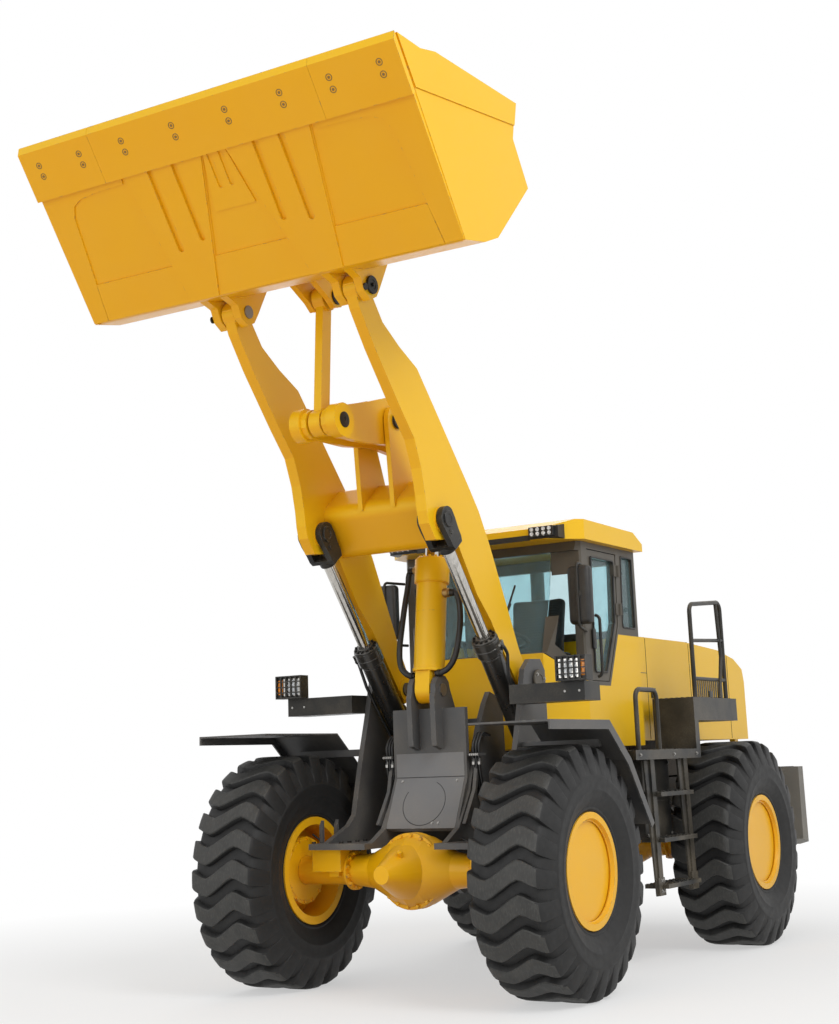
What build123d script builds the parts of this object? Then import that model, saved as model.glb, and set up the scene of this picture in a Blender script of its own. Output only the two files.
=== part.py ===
"""Articulated wheel loader with a raised Z-bar loader arm, built as separate named pieces.

Lengths are millimetres and angles degrees. While a piece is modelled, x runs forward from the
front axle, y to the left and z up from the floor. save() then moves every piece so that the
origin lies on the floor, midway between the counterweight's rear face and the bucket's lip.
"""
from build123d import *
from math import atan2, cos, degrees, hypot, radians, sin, sqrt
import os

# ---- driving sizes -------------------------------------------------------------------------
wheelbase = 3200
track = 2190
hitch_x = -1600            # articulation joint, forward of which everything steers
rear_face_x = -5050        # rear face of the counterweight

running_gap = 0.3          # radial clearance of a pin in its bore
seat_gap = 0.3             # between a seated piece and what carries it
side_gap = 17              # between an eye and each ear of its fork

# ---- wheels --------------------------------------------------------------------------------
axle_z = 805               # height of the wheels' centres
tyre_radius = 808.5        # out to the tips of the lugs, which stand on the floor in pairs
tyre_width = 597
lug_height = 48
lug_count = 24
lug_half = 64              # half width of a lug, round the tyre
lug_reach = 72             # how far a lug zigzags from its middle, round the tyre
lug_lean = 0.28            # how fast a lug's shoulder falls outwards
carcass_sides = 18
bead_radius = 330
rim_flange_radius = 370
rim_width = 484
rim_wall = 14
disc_wall = 26
disc_inset = 250           # from the rim's outer face to the disc
hub_radius = 215
hub_length = 190
hub_cap_radius = 118
spindle_radius = 80
spindle_reach = 90         # from the disc's outer face to the bottom of the hub's bore

# ---- axles ---------------------------------------------------------------------------------
axle_tube_radius = 98
diff_radius = 255
diff_nose = 450            # reach of the differential's nose from the axle line
brake_radius = 235
brake_length = 120
wheel_gap = 6              # between a turning wheel and the axle housing
axle_pad_height = 150      # top of the pads that carry the frame, above the axle line
axle_pad_size = (330, 240)

# ---- loader arm pivots (x, z) at the raised position -----------------------------------------
boom_root = (-660, 2070)
bucket_pivot = (1310, 4563)
lift_eye = (403, 3134)
lift_base = (-950, 1385)
bellcrank_pivot = (320, 3890)
bellcrank_top = (-460, 3745)
bellcrank_low = (1020, 3780)
link_top = (960, 4665)
tilt_base = (-240, 2030)

boom_y = 500               # middle of each arm plate
boom_plate = 80
boom_pin_radius = 50
bucket_pin_radius = 45
boom_tip_radius = 90
boss_radius = 84            # raised rings round the arm's pins
boss_height = 8
cross_tube_size = (420, 370)        # along and across the arm's line
cross_tube_wall = 30
cross_tube_place = (1400, 115)      # along and above the arm's line
hanger_plate = 36
hanger_y = 135
crank_plate = 45
crank_pin_radius = 50
crank_boss_radius = 115
eye_width = 90
eye_radius = 92
link_pin_radius = 45
pin_cap = 80                # thickness of the caps that keep the link's pin in place
pin_cap_radius = 116
link_depth = 100
link_width = 60

lift_barrel_radius = 82
lift_head_radius = 96
lift_barrel_length = 1225
lift_rod_radius = 45
lift_pin_radius = 48
fork_ear = 42
fork_reach = 180           # from the eye's middle to the bottom of the fork
fork_radius = 88

tilt_barrel_radius = 112
tilt_collar_radius = 128
tilt_barrel_length = 950
tilt_rod_radius = 55
tilt_pin_radius = 45
tilt_eye_width = 120
tilt_ear_plate = 40

# ---- bucket, in its own axes: forward along the floor and up from the hinge pin --------------
bucket_width = 3024
bucket_tilt = 55           # angle of the bucket's floor above level
bucket_plate = 26
bucket_side = 24
ear_plate = 60
edge_plate = 38
edge_reach = 380

# ---- front frame ---------------------------------------------------------------------------
tower_inner_y = 300
tower_outer_y = 640
tower_plate = 40
# ---- rear frame ----------------------------------------------------------------------------
rail_y = 400
rail_plate = 40
engine_seat_z = 1345
cab_floor_z = 1600
# ---- hood hinge ----------------------------------------------------------------------------
hood_hinge = (-4560, 1560)
hood_lug_y = 600
hood_pin_radius = 20
# ---- drive line ---------------------------------------------------------------------------
shaft_radius = 45
shaft_flange_radius = 85
shaft_flange = 30
transmission_back_x = -wheelbase + diff_nose + 110
# ---- steering ------------------------------------------------------------------------------
steer_base = (-2150, 350)  # x, y on the rear frame
steer_eye = (-1250, 420)   # x, y on the front frame
steer_z = 840
steer_barrel_radius = 52
steer_barrel_length = 560
steer_rod_radius = 26
steer_pin_radius = 24
steer_eye_radius = 46
steer_eye_width = 50
steer_ear_plate = 25
hitch_pin_radius = 50
hitch_ear_plate = 45
hitch_ear_radius = 108
hitch_levels = (620, 1180)   # heights of the two hitch tongues
hitch_gap = 6

origin_x = (rear_face_x + bucket_pivot[0]
            + 1516 * cos(radians(bucket_tilt)) + 216 * sin(radians(bucket_tilt))) / 2

os.makedirs("parts", exist_ok=True)


def save(piece, name):
    """Move a finished piece to the shared origin and write its STEP file."""
    placed = piece.moved(Location((-origin_x, 0, 0)))
    placed.label = name
    export_step(placed, f"parts/{name}.step")


def side_plane(y, origin=(0, 0), tilt=0):
    """Plane seen from the machine's right: local x forward and local y up, turned by tilt."""
    turn = radians(tilt)
    return Plane(origin=(origin[0], y, origin[1]), x_dir=(cos(turn), 0, sin(turn)), z_dir=(0, -1, 0))


def slope(start, end):
    """Angle above level of the line between two (x, z) places."""
    return degrees(atan2(end[1] - start[1], end[0] - start[0]))


def distance(start, end):
    return hypot(end[0] - start[0], end[1] - start[1])


def plate(outline, y, thickness, origin=(0, 0), tilt=0, corner=0, inset=0, mode=Mode.ADD):
    """Upright plate centred on y, cut to an outline in a side plane; inset draws its edge in."""
    with BuildSketch(side_plane(y, origin, tilt)) as face:
        with BuildLine():
            if corner:
                FilletPolyline(*outline, radius=corner, close=True)
            else:
                Polyline(*outline, close=True)
        make_face()
        if inset:
            offset(amount=-inset, kind=Kind.INTERSECTION, mode=Mode.REPLACE)
    extrude(face.sketch, amount=thickness / 2, both=True, mode=mode)


def cross_bar(place, y_from, y_to, radius, mode=Mode.ADD):
    """Round bar or bore along y at an (x, z) place."""
    with BuildSketch(side_plane(y_to, place)) as face:
        Circle(radius)
    extrude(face.sketch, amount=y_to - y_from, mode=mode)


def block(x_span, y_span, z_span, mode=Mode.ADD):
    """Box between two places on each axis."""
    with BuildSketch(Plane.XY.offset(z_span[0])) as face:
        with Locations(((x_span[0] + x_span[1]) / 2, (y_span[0] + y_span[1]) / 2)):
            Rectangle(abs(x_span[1] - x_span[0]), abs(y_span[1] - y_span[0]))
    extrude(face.sketch, amount=z_span[1] - z_span[0], mode=mode)


# ---- wheels --------------------------------------------------------------------------------
tyre_half = tyre_width / 2
rim_half = rim_width / 2
# radius, offset from the middle plane
tread_radius = tyre_radius - lug_height
lug_top = sqrt(tyre_radius ** 2 - (lug_reach + lug_half) ** 2)
lug_foot = 594             # radius at which a lug runs out on the sidewall
# radius, offset from the middle plane: the carcass between the two beads
carcass = [(300, -184), (590, -tyre_half), (tread_radius, -225), (tread_radius, 225), (590, tyre_half), (300, 184)]
# offset, distance round the tyre: middle line of a lug across the tread
lug_line = [(-320, -25), (-112, lug_reach), (112, -lug_reach), (320, 25)]


with BuildPart() as lug:
    with BuildSketch(Plane.XY.offset(lug_foot)) as plan:
        with BuildLine():
            Polyline(*[(place - lug_half, y) for y, place in lug_line],
                     *[(place + lug_half, y) for y, place in reversed(lug_line)], close=True)
        make_face()
    extrude(plan.sketch, amount=lug_top - lug_foot)
    shoulder = 240 + lug_lean * (lug_top - lug_foot)
    with BuildSketch(Plane.YZ.offset(-tyre_half)) as section:
        with BuildLine():
            Polyline((-240, lug_top), (-shoulder, lug_foot), (shoulder, lug_foot), (240, lug_top), close=True)
        make_face()
    extrude(section.sketch, amount=tyre_width, mode=Mode.INTERSECT)

with BuildPart() as tyre:
    for radius, y in carcass:
        with BuildSketch(Plane.XZ.offset(-y)):
            RegularPolygon(radius, carcass_sides)
    loft(ruled=True)
    add([lug.part.rotate(Axis.Y, 360 * step / lug_count) for step in range(lug_count)])
    with BuildSketch(Plane.XZ.offset(-tyre_half)) as bore:
        RegularPolygon(bead_radius + seat_gap, carcass_sides, major_radius=False)
    extrude(bore.sketch, amount=tyre_width, mode=Mode.SUBTRACT)


def wheel(side, axle_x):
    """Rim, dished disc and planetary hub in one turning piece; outward is +y before placing."""
    lip = bead_radius - rim_wall
    disc_y = rim_half - disc_inset
    hub_y = disc_y + hub_length
    # radius, offset from the middle plane: hub, disc, rim barrel, then back along the inside
    outline = [
        (0, hub_y), (hub_cap_radius, hub_y), (hub_cap_radius + 14, hub_y - 18), (hub_radius - 32, hub_y - 30),
        (hub_radius - 8, hub_y - 60), (hub_radius, disc_y + 12), (lip - 40, disc_y), (lip, disc_y + 30),
        (lip, rim_half - 26), (lip + 12, rim_half), (rim_flange_radius, rim_half),
        (rim_flange_radius, rim_half - 14), (bead_radius, rim_half - 26), (bead_radius, -rim_half + 26),
        (rim_flange_radius, -rim_half + 14), (rim_flange_radius, -rim_half), (lip, -rim_half),
        (lip, disc_y - disc_wall), (spindle_radius + running_gap, disc_y - disc_wall),
        (spindle_radius + running_gap, disc_y + spindle_reach), (0, disc_y + spindle_reach),
    ]
    with BuildPart() as body:
        with BuildSketch(Plane.XY) as section:
            with BuildLine():
                Polyline(*outline, close=True)
            make_face()
        revolve(section.sketch, axis=Axis.Y)
    turned = body.part if side > 0 else body.part.rotate(Axis.Z, 180)
    return turned.moved(Location((axle_x, side * track / 2, axle_z)))


wheel_places = [("front_left", 1, 0), ("front_right", -1, 0),
                ("rear_left", 1, -wheelbase), ("rear_right", -1, -wheelbase)]
for name, side, axle_x in wheel_places:
    save(tyre.part.moved(Location((axle_x, side * track / 2, axle_z))), f"tyre_{name}")
    save(wheel(side, axle_x), f"wheel_{name}")


# ---- axles ---------------------------------------------------------------------------------
disc_back_y = track / 2 + rim_half - disc_inset - disc_wall


def axle(axle_x, pad_y):
    """Drive axle: banjo housing, brake drums, spindles and the pads that carry the frame."""
    brake_end = disc_back_y - wheel_gap
    with BuildPart() as body:
        # offset from the middle plane, radius: the housing swells round the differential
        housing = [(0, diff_radius), (120, diff_radius - 30), (330, axle_tube_radius + 24),
                   (520, axle_tube_radius), (brake_end - brake_length, axle_tube_radius)]
        with BuildSketch(Plane.XY) as section:
            with BuildLine():
                Polyline((0, 0), *[(radius, offset) for offset, radius in housing],
                         (0, brake_end - brake_length), close=True)
            make_face()
        revolve(section.sketch, axis=Axis.Y)
        with BuildSketch(Plane.XY) as drum:
            with BuildLine():
                Polyline((0, brake_end - brake_length), (brake_radius - 25, brake_end - brake_length),
                         (brake_radius, brake_end - brake_length + 30), (brake_radius, brake_end),
                         (spindle_radius, brake_end), (spindle_radius, disc_back_y + disc_wall + spindle_reach - wheel_gap),
                         (0, disc_back_y + disc_wall + spindle_reach - wheel_gap), close=True)
            make_face()
        revolve(drum.sketch, axis=Axis.Y)
        mirror(about=Plane.XZ)
        with BuildSketch(Plane.YZ) as bowl:
            Circle(diff_radius)
        with BuildSketch(Plane.YZ.offset(diff_nose)) as tip:
            Circle(60)
        loft([bowl.sketch.faces()[0], tip.sketch.faces()[0]], ruled=True)
        for side in (1, -1):
            block((-axle_pad_size[0] / 2, axle_pad_size[0] / 2),
                  (side * pad_y - axle_pad_size[1] / 2, side * pad_y + axle_pad_size[1] / 2),
                  (0, axle_pad_height))
    return body.part.moved(Location((axle_x, 0, axle_z)))


save(axle(0, tower_outer_y), "front_axle")
save(axle(-wheelbase, rail_y), "rear_axle")

# ---- loader arm ----------------------------------------------------------------------------
boom_angle = slope(boom_root, bucket_pivot)
boom_length = distance(boom_root, bucket_pivot)
# along the line from root pin to bucket pin, above it
boom_outline = [
    (-75, -78), (-100, 0), (-75, 85), (226, 125), (594, 200), (997, 280), (1258, 314), (1480, 310),
    (2138, 280), (2438, 264), (2660, 160), (2880, 84), (3120, 88),
    (boom_length + 70, 62), (boom_length + boom_tip_radius, 0), (boom_length + 66, -60),
    (3080, -104), (2799, -118), (2349, -110), (2091, -96), (1896, -155), (1733, -234), (1640, -290),
    (1560, -325), (1430, -325), (1365, -225), (1330, -92), (839, -114), (600, -78), (226, -78),
]


def around(place, radius, start, end, steps):
    """Points of an arc about a place, for the rounded end of a plate."""
    turns = [start + (end - start) * step / steps for step in range(steps + 1)]
    return [(place[0] + radius * cos(radians(turn)), place[1] + radius * sin(radians(turn))) for turn in turns]


# forward, up: plates that stand on the cross tube and hold the bellcrank's pin
hanger_outline = [(372, 3272), *around(bellcrank_pivot, 108, -10, 190, 8), (60, 3480)]

with BuildPart() as boom:
    for side in (1, -1):
        plate(boom_outline, side * boom_y, boom_plate, boom_root, boom_angle)
        plate(hanger_outline, side * hanger_y, hanger_plate)
    half_along, half_across = cross_tube_size[0] / 2, cross_tube_size[1] / 2
    along, above = cross_tube_place
    tube_reach = boom_y - boom_plate / 2
    outer = [(along - half_along, above - half_across), (along + half_along, above - half_across),
             (along + half_along, above + half_across), (along - half_along, above + half_across)]
    with BuildSketch(side_plane(0, boom_root, boom_angle)) as tube:
        with BuildLine():
            FilletPolyline(*outer, radius=90, close=True)
        make_face()
        offset(amount=-cross_tube_wall, mode=Mode.SUBTRACT)
    extrude(tube.sketch, amount=tube_reach, both=True)
    for side in (1, -1):
        outer_face = side * (boom_y + boom_plate / 2)
        inner_face = side * (boom_y - boom_plate / 2)
        low, high = sorted((outer_face, inner_face))
        for place in (boom_root, bucket_pivot, lift_eye):
            boss_low, boss_high = sorted((outer_face + side * boss_height, inner_face - side * boss_height))
            cross_bar(place, boss_low, boss_high, boss_radius)
            low, high = min(low, boss_low), max(high, boss_high)
        cross_bar(boom_root, low, high, boom_pin_radius + running_gap, Mode.SUBTRACT)
        cross_bar(bucket_pivot, low, high, bucket_pin_radius + running_gap, Mode.SUBTRACT)
        low, high = sorted((side * (hanger_y - hanger_plate / 2), side * (hanger_y + hanger_plate / 2)))
        cross_bar(bellcrank_pivot, low, high, crank_pin_radius + running_gap, Mode.SUBTRACT)
save(boom.part, "boom")

# ---- bellcrank, its pins and the bucket link --------------------------------------------------
crank_inner = eye_width / 2 + side_gap
crank_outer = crank_inner + crank_plate
crank_mid = (crank_inner + crank_outer) / 2

crank_outline = [
    *around(bellcrank_low, crank_boss_radius - 15, -110, 70, 6),
    (600, 3990), (bellcrank_pivot[0] + 40, bellcrank_pivot[1] + 170), (0, 4050),
    *around(bellcrank_top, crank_boss_radius - 10, 80, 250, 6),
    (-100, 3705), (bellcrank_pivot[0] - 40, bellcrank_pivot[1] - 160), (620, 3690),
]
with BuildPart() as bellcrank:
    for side in (1, -1):
        plate(crank_outline, side * crank_mid, crank_plate)
    web = [(80, 3760), (760, 3740), (760, 3800), (200, 3990), (-100, 3960), (-160, 3760)]
    plate(web, 0, 2 * crank_inner)
    cross_bar(bellcrank_pivot, -crank_outer, crank_outer, crank_pin_radius + running_gap, Mode.SUBTRACT)
    cross_bar(bellcrank_low, -crank_outer, crank_outer, link_pin_radius + running_gap, Mode.SUBTRACT)
    for side in (1, -1):
        low, high = sorted((side * crank_inner, side * crank_outer))
        cross_bar(bellcrank_top, low, high, tilt_pin_radius, Mode.SUBTRACT)
save(bellcrank.part, "bellcrank")

with BuildPart() as bellcrank_pin:
    reach = hanger_y + hanger_plate / 2 + 12
    cross_bar(bellcrank_pivot, -reach, reach, crank_pin_radius)
save(bellcrank_pin.part, "bellcrank_pin")

with BuildPart() as link_pin:
    cross_bar(bellcrank_low, -crank_outer - pin_cap, crank_outer + pin_cap, link_pin_radius)
    for side in (1, -1):
        low, high = sorted((side * (crank_outer + seat_gap), side * (crank_outer + pin_cap)))
        cross_bar(bellcrank_low, low, high, pin_cap_radius)
save(link_pin.part, "link_pin")

link_angle = slope(bellcrank_low, link_top)
link_length = distance(bellcrank_low, link_top)
with BuildPart() as link:
    cross_bar(bellcrank_low, -eye_width / 2, eye_width / 2, eye_radius)
    cross_bar(link_top, -eye_width / 2, eye_width / 2, eye_radius - 6)
    bar = [(0, -link_depth / 2), (link_length, -link_depth / 2), (link_length, link_depth / 2), (0, link_depth / 2)]
    plate(bar, 0, link_width, bellcrank_low, link_angle)
    cross_bar(bellcrank_low, -eye_width / 2, eye_width / 2, link_pin_radius + running_gap, Mode.SUBTRACT)
save(link.part, "link")

with BuildPart() as bucket_pins:
    for side in (1, -1):
        inner = boom_y - boom_plate / 2 - side_gap - ear_plate - 8
        outer = boom_y + boom_plate / 2 + side_gap + ear_plate + 8
        low, high = sorted((side * inner, side * outer))
        cross_bar(bucket_pivot, low, high, bucket_pin_radius)
save(bucket_pins.part, "bucket_pins")

# ---- bucket ----------------------------------------------------------------------------------
# forward along the floor, above the hinge pin: middle of the wrapped sheet, lip to upper edge
bucket_sheet = [(1500, -203), (215, -203), (118, 20), (84, 200), (206, 826), (530, 840), (712, 1042)]
bucket_side_outline = [(1388, -190), (205, -216), (105, 20), (68, 200), (190, 835), (530, 853),
                       (716, 1050), (1285, 190), (1350, 20), (1500, -190)]


def in_bucket(place):
    turn = radians(bucket_tilt)
    dx, dz = place[0] - bucket_pivot[0], place[1] - bucket_pivot[1]
    return (dx * cos(turn) + dz * sin(turn), -dx * sin(turn) + dz * cos(turn))


def under_floor(depth):
    """Plane on the underside of the bucket's floor: x forward along it, z away from it."""
    turn = radians(bucket_tilt)
    place = (bucket_pivot[0] + depth * sin(turn), 0, bucket_pivot[1] - depth * cos(turn))
    return Plane(origin=place, x_dir=(cos(turn), 0, sin(turn)), z_dir=(sin(turn), 0, -cos(turn)))


floor_depth = 216          # underside of the bucket's floor, below the hinge pin
mouth_strip = 8            # how far the strip along the mouth stands proud of the side
skid_plate = 20
wear_plate = 10
heel_x = 215
edge_start = 1516 - edge_reach
# forward, up in the bucket's axes: the strip along the mouth of each side
mouth_outline = [(1165, -190), (1500, -190), (1350, 20), (1285, 190), (716, 1050), (600, 925)]
# forward, sideways: one tapered skid with its two grooves, and the plates round it
skid_outline = [(edge_start, 100), (edge_start, 750), (heel_x, 617), (heel_x, 383)]
corner_outline = [(heel_x, 1500), (heel_x, 1370), (960, 1290), (1040, 1250), (1075, 1180), (1090, 1050), (1095, 790),
                  (edge_start, 780), (edge_start, 1500)]
groove_width = 46
link_ear = in_bucket(link_top)
with BuildPart() as bucket:
    with BuildSketch(side_plane(0, bucket_pivot, bucket_tilt)) as sheet:
        with BuildLine() as path:
            FilletPolyline(*bucket_sheet, radius=60)
        trace(path.line, line_width=bucket_plate)
    extrude(sheet.sketch, amount=bucket_width / 2 - bucket_side / 2, both=True)
    for side in (1, -1):
        plate(bucket_side_outline, side * ((bucket_width - bucket_side) / 2 - mouth_strip), bucket_side,
              bucket_pivot, bucket_tilt)
        plate(mouth_outline, side * (bucket_width - bucket_side) / 2, bucket_side, bucket_pivot, bucket_tilt)
    for side in (1, -1):
        with BuildSketch(under_floor(floor_depth)) as skid:
            with BuildLine():
                Polyline(*[(x, side * y) for x, y in skid_outline], close=True)
            make_face()
            for y, low_end in ((330, 600), (530, 560)):
                with Locations(((low_end + edge_start + 60) / 2, side * y)):
                    SlotOverall(edge_start + 60 - low_end, groove_width, mode=Mode.SUBTRACT)
        extrude(skid.sketch, amount=skid_plate)
        with BuildSketch(under_floor(floor_depth)) as corner_plate:
            with BuildLine():
                Polyline(*[(x, side * y) for x, y in corner_outline], close=True)
            make_face()
        extrude(corner_plate.sketch, amount=wear_plate)
    with BuildSketch(under_floor(floor_depth)) as middle_plate:
        with BuildLine():
            Polyline((edge_start, 90), (760, 165), (760, -165), (edge_start, -90), close=True)
        make_face()
        for y in (-45, 45):
            with Locations((edge_start - 110, y)):
                SlotOverall(250, 34, mode=Mode.SUBTRACT)
        # the band across the heel
        with BuildLine():
            Polyline((heel_x, -1365), (480, -1340), (480, 1340), (heel_x, 1365), close=True)
        make_face()
    extrude(middle_plate.sketch, amount=wear_plate)
    hinge_ear = [(-80, -60), (0, -95), (90, -80), (230, -195), (110, 60), (95, 330), (60, 330), (-60, 90), (-90, 20)]
    for side in (1, -1):
        for ear_side in (1, -1):
            ear_y = side * (boom_y + ear_side * (boom_plate / 2 + side_gap + ear_plate / 2))
            plate(hinge_ear, ear_y, ear_plate, bucket_pivot, bucket_tilt)
            cross_bar(bucket_pivot, ear_y - ear_plate / 2, ear_y + ear_plate / 2,
                      bucket_pin_radius + running_gap, Mode.SUBTRACT)
    link_lug = [(100, link_ear[1] - 190), (link_ear[0] + 20, link_ear[1] - 85), (link_ear[0] - 60, link_ear[1] - 60),
                (link_ear[0] - 85, link_ear[1] + 10), (link_ear[0] - 50, link_ear[1] + 75),
                (link_ear[0] + 40, link_ear[1] + 90), (190, link_ear[1] + 240)]
    for side in (1, -1):
        plate(link_lug, side * (eye_width / 2 + side_gap + crank_plate / 2), crank_plate, bucket_pivot, bucket_tilt)
save(bucket.part, "bucket")

edge_joint = 892
edge_end_middle = (edge_joint + bucket_width / 2) / 2
edge_end_width = bucket_width / 2 - edge_joint
with BuildPart() as bucket_edge:
    edge = [(1516 - edge_reach, -216 - seat_gap), (1516, -216 - seat_gap),
            (1516 - 40, -216 - seat_gap - edge_plate), (1516 - edge_reach, -216 - seat_gap - edge_plate)]
    # middle, width of the three lengths of edge across the bucket
    for middle, width in ((0, 2 * edge_joint - 4), (-edge_end_middle, edge_end_width), (edge_end_middle, edge_end_width)):
        plate(edge, middle, width, bucket_pivot, bucket_tilt)
save(bucket_edge.part, "bucket_edge")


# ---- lift cylinders ----------------------------------------------------------------------------
lift_angle = slope(lift_base, lift_eye)
lift_length = distance(lift_base, lift_eye)


def along_y_plane(base, angle, distance_along, y):
    """Plane square to a cylinder that lies in a side plane, at a distance along it."""
    turn = radians(angle)
    place = (base[0] + distance_along * cos(turn), y, base[1] + distance_along * sin(turn))
    return Plane(origin=place, x_dir=(0, 1, 0), z_dir=(cos(turn), 0, sin(turn)))


def stage(base, angle, y, start, end, radius, mode=Mode.ADD):
    """Round length of a cylinder between two distances from its base pin."""
    with BuildSketch(along_y_plane(base, angle, start, y)) as face:
        Circle(radius)
    extrude(face.sketch, amount=end - start, mode=mode)


for name, side in (("left", 1), ("right", -1)):
    y = side * boom_y
    with BuildPart() as barrel:
        stage(lift_base, lift_angle, y, 60, lift_barrel_length, lift_barrel_radius)
        stage(lift_base, lift_angle, y, lift_barrel_length - 110, lift_barrel_length, lift_head_radius)
        cross_bar(lift_base, y - 55, y + 55, 84)
        stage(lift_base, lift_angle, y, 100, lift_barrel_length + 1, lift_rod_radius + running_gap, Mode.SUBTRACT)
        cross_bar(lift_base, y - 55, y + 55, lift_pin_radius + running_gap, Mode.SUBTRACT)
    save(barrel.part, f"lift_barrel_{name}")
    with BuildPart() as rod:
        stage(lift_base, lift_angle, y, lift_length - 1360, lift_length - fork_reach - 60, lift_rod_radius)
        stage(lift_base, lift_angle, y, lift_length - fork_reach - 70, lift_length - fork_reach - 30, 62)
        fork_y = boom_plate / 2 + side_gap + fork_ear / 2
        yoke = [(-fork_reach - 34, -55), (-fork_reach, -70), (-fork_reach, 70), (-fork_reach - 34, 55)]
        plate(yoke, y, 2 * fork_y + fork_ear, lift_eye, lift_angle)
        for ear_side in (1, -1):
            ear = [(-fork_reach, -70), (-30, -fork_radius), *around((0, 0), fork_radius, -75, 75, 8),
                   (-30, fork_radius), (-fork_reach, 70)]
            plate(ear, y + ear_side * fork_y, fork_ear, lift_eye, lift_angle)
    save(rod.part, f"lift_rod_{name}")

# ---- tilt cylinder -----------------------------------------------------------------------------
tilt_angle = slope(tilt_base, bellcrank_top)
tilt_length = distance(tilt_base, bellcrank_top)
with BuildPart() as tilt_barrel:
    stage(tilt_base, tilt_angle, 0, 128, tilt_barrel_length, tilt_barrel_radius)
    stage(tilt_base, tilt_angle, 0, tilt_barrel_length - 170, tilt_barrel_length, tilt_collar_radius)
    cross_bar(tilt_base, -tilt_eye_width / 2, tilt_eye_width / 2, 92)
    plate([(0, -92), (128, -92), (128, 92), (0, 92)], 0, tilt_eye_width, tilt_base, tilt_angle)
    stage(tilt_base, tilt_angle, 0, 150, tilt_barrel_length + 1, tilt_rod_radius + running_gap, Mode.SUBTRACT)
    cross_bar(tilt_base, -tilt_eye_width / 2, tilt_eye_width / 2, tilt_pin_radius + running_gap, Mode.SUBTRACT)
save(tilt_barrel.part, "tilt_barrel")

with BuildPart() as tilt_rod:
    stage(tilt_base, tilt_angle, 0, tilt_length - 1180, tilt_length - 60, tilt_rod_radius)
    cross_bar(bellcrank_top, -eye_width / 2, eye_width / 2, eye_radius)
save(tilt_rod.part, "tilt_rod")

with BuildPart() as tilt_base_pin:
    reach = tilt_eye_width / 2 + side_gap + tilt_ear_plate + 8
    cross_bar(tilt_base, -reach, reach, tilt_pin_radius)
save(tilt_base_pin.part, "tilt_base_pin")

# ---- front frame ---------------------------------------------------------------------------------
pad_top = axle_z + axle_pad_height + seat_gap
# forward, up: the tower's inner plates and the taller outer plates that hold the arm's root pin
inner_tower = [(157, pad_top + 20), (-52, 1082), (-220, 1323), (-299, 1543), (-395, 1767), (-487, 1921),
               (-560, 2010), (-740, 1960), (-755, 1588), (-1080, 1500), (-1300, 1330), (-1470, 1280), (-1470, 540),
               (-1100, 560), (-500, 900)]
outer_tower = [(221, pad_top), (221, pad_top + 24), (-107, 1108), (-186, 1178), (-297, 1576), (-390, 1866),
               (-470, 2150), (-560, 2222), (-720, 2228), (-785, 2150), (-790, 1510), (-840, 1478), (-1000, 1478),
               (-1080, 1430), (-1130, 1300), (-1130, 1180),
               (-400, pad_top)]
with BuildPart() as front_frame:
    for side in (1, -1):
        plate(inner_tower, side * tower_inner_y, tower_plate)
        plate(outer_tower, side * tower_outer_y, tower_plate)
        block((-220, 221), (side * (tower_inner_y - 20), side * (tower_outer_y + 110)), (pad_top, pad_top + 40))
        low, high = sorted((side * (tower_inner_y + 20), side * (tower_outer_y - 20)))
        cross_bar(lift_base, low, high, lift_pin_radius)
        block((-1130, -1090), (low, high), (1190, 1310))
        low, high = sorted((side * (boom_y - boom_plate / 2 - 20), side * (tower_outer_y + tower_plate / 2 + 12)))
        cross_bar(boom_root, low, high, boom_pin_radius)
    apron = [(-100, 1060), (-60, 1080), (-225, 1420), (-225, 1640), (-265, 1640), (-265, 1420), (-140, 1080)]
    plate(apron, 0, 2 * tower_inner_y)
    block((-1470, -1430), (-tower_inner_y, tower_inner_y), (540, 1280))
    with BuildSketch(Plane.YZ.offset(-1480)) as shaft_hole:
        with Locations((0, axle_z)):
            Circle(shaft_flange_radius + 20)
    extrude(shaft_hole.sketch, amount=80, mode=Mode.SUBTRACT)
    block((-740, -400), (-tower_inner_y, tower_inner_y), (1780, 1820))
    block((-265, -225), (-tower_inner_y, tower_inner_y), (1600, 1900))
    ear_y = tilt_eye_width / 2 + side_gap + tilt_ear_plate / 2
    tilt_ear = [(-130, 1640), (-120, 1980), *around(tilt_base, 105, -10, 180, 6), (-420, 1880), (-265, 1600)]
    for side in (1, -1):
        plate(tilt_ear, side * ear_y, tilt_ear_plate)
        cross_bar(tilt_base, side * ear_y - tilt_ear_plate / 2, side * ear_y + tilt_ear_plate / 2,
                  tilt_pin_radius + running_gap, Mode.SUBTRACT)
    for level in hitch_levels:
        for step in (-1, 1):
            middle = level + step * (hitch_ear_plate + hitch_gap)
            with BuildSketch(Plane.XY.offset(middle - hitch_ear_plate / 2)) as tongue:
                with BuildLine():
                    Polyline((hitch_x, hitch_ear_radius), (-1450, 200), (-1450, -200), (hitch_x, -hitch_ear_radius),
                             close=True)
                make_face()
                with Locations((hitch_x, 0)):
                    Circle(hitch_ear_radius)
            extrude(tongue.sketch, amount=hitch_ear_plate)
        with BuildSketch(Plane.XY.offset(level - 2 * hitch_ear_plate)) as bore:
            with Locations((hitch_x, 0)):
                Circle(hitch_pin_radius + running_gap)
        extrude(bore.sketch, amount=4 * hitch_ear_plate, mode=Mode.SUBTRACT)
    for side in (1, -1):
        for step in (-1, 1):
            middle = steer_z + step * (steer_eye_width / 2 + 8 + steer_ear_plate / 2)
            low, high = sorted((side * tower_inner_y, side * (steer_eye[1] + 55)))
            block((steer_eye[0] - 50, steer_eye[0] + 60), (low, high),
                  (middle - steer_ear_plate / 2, middle + steer_ear_plate / 2))
        # room for the steering rod at full lock
        low, high = sorted((side * 235, side * 330))
        block((-1480, -1320), (low, high), (steer_z - 75, steer_z + 75), Mode.SUBTRACT)
save(front_frame.part, "front_frame")

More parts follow.
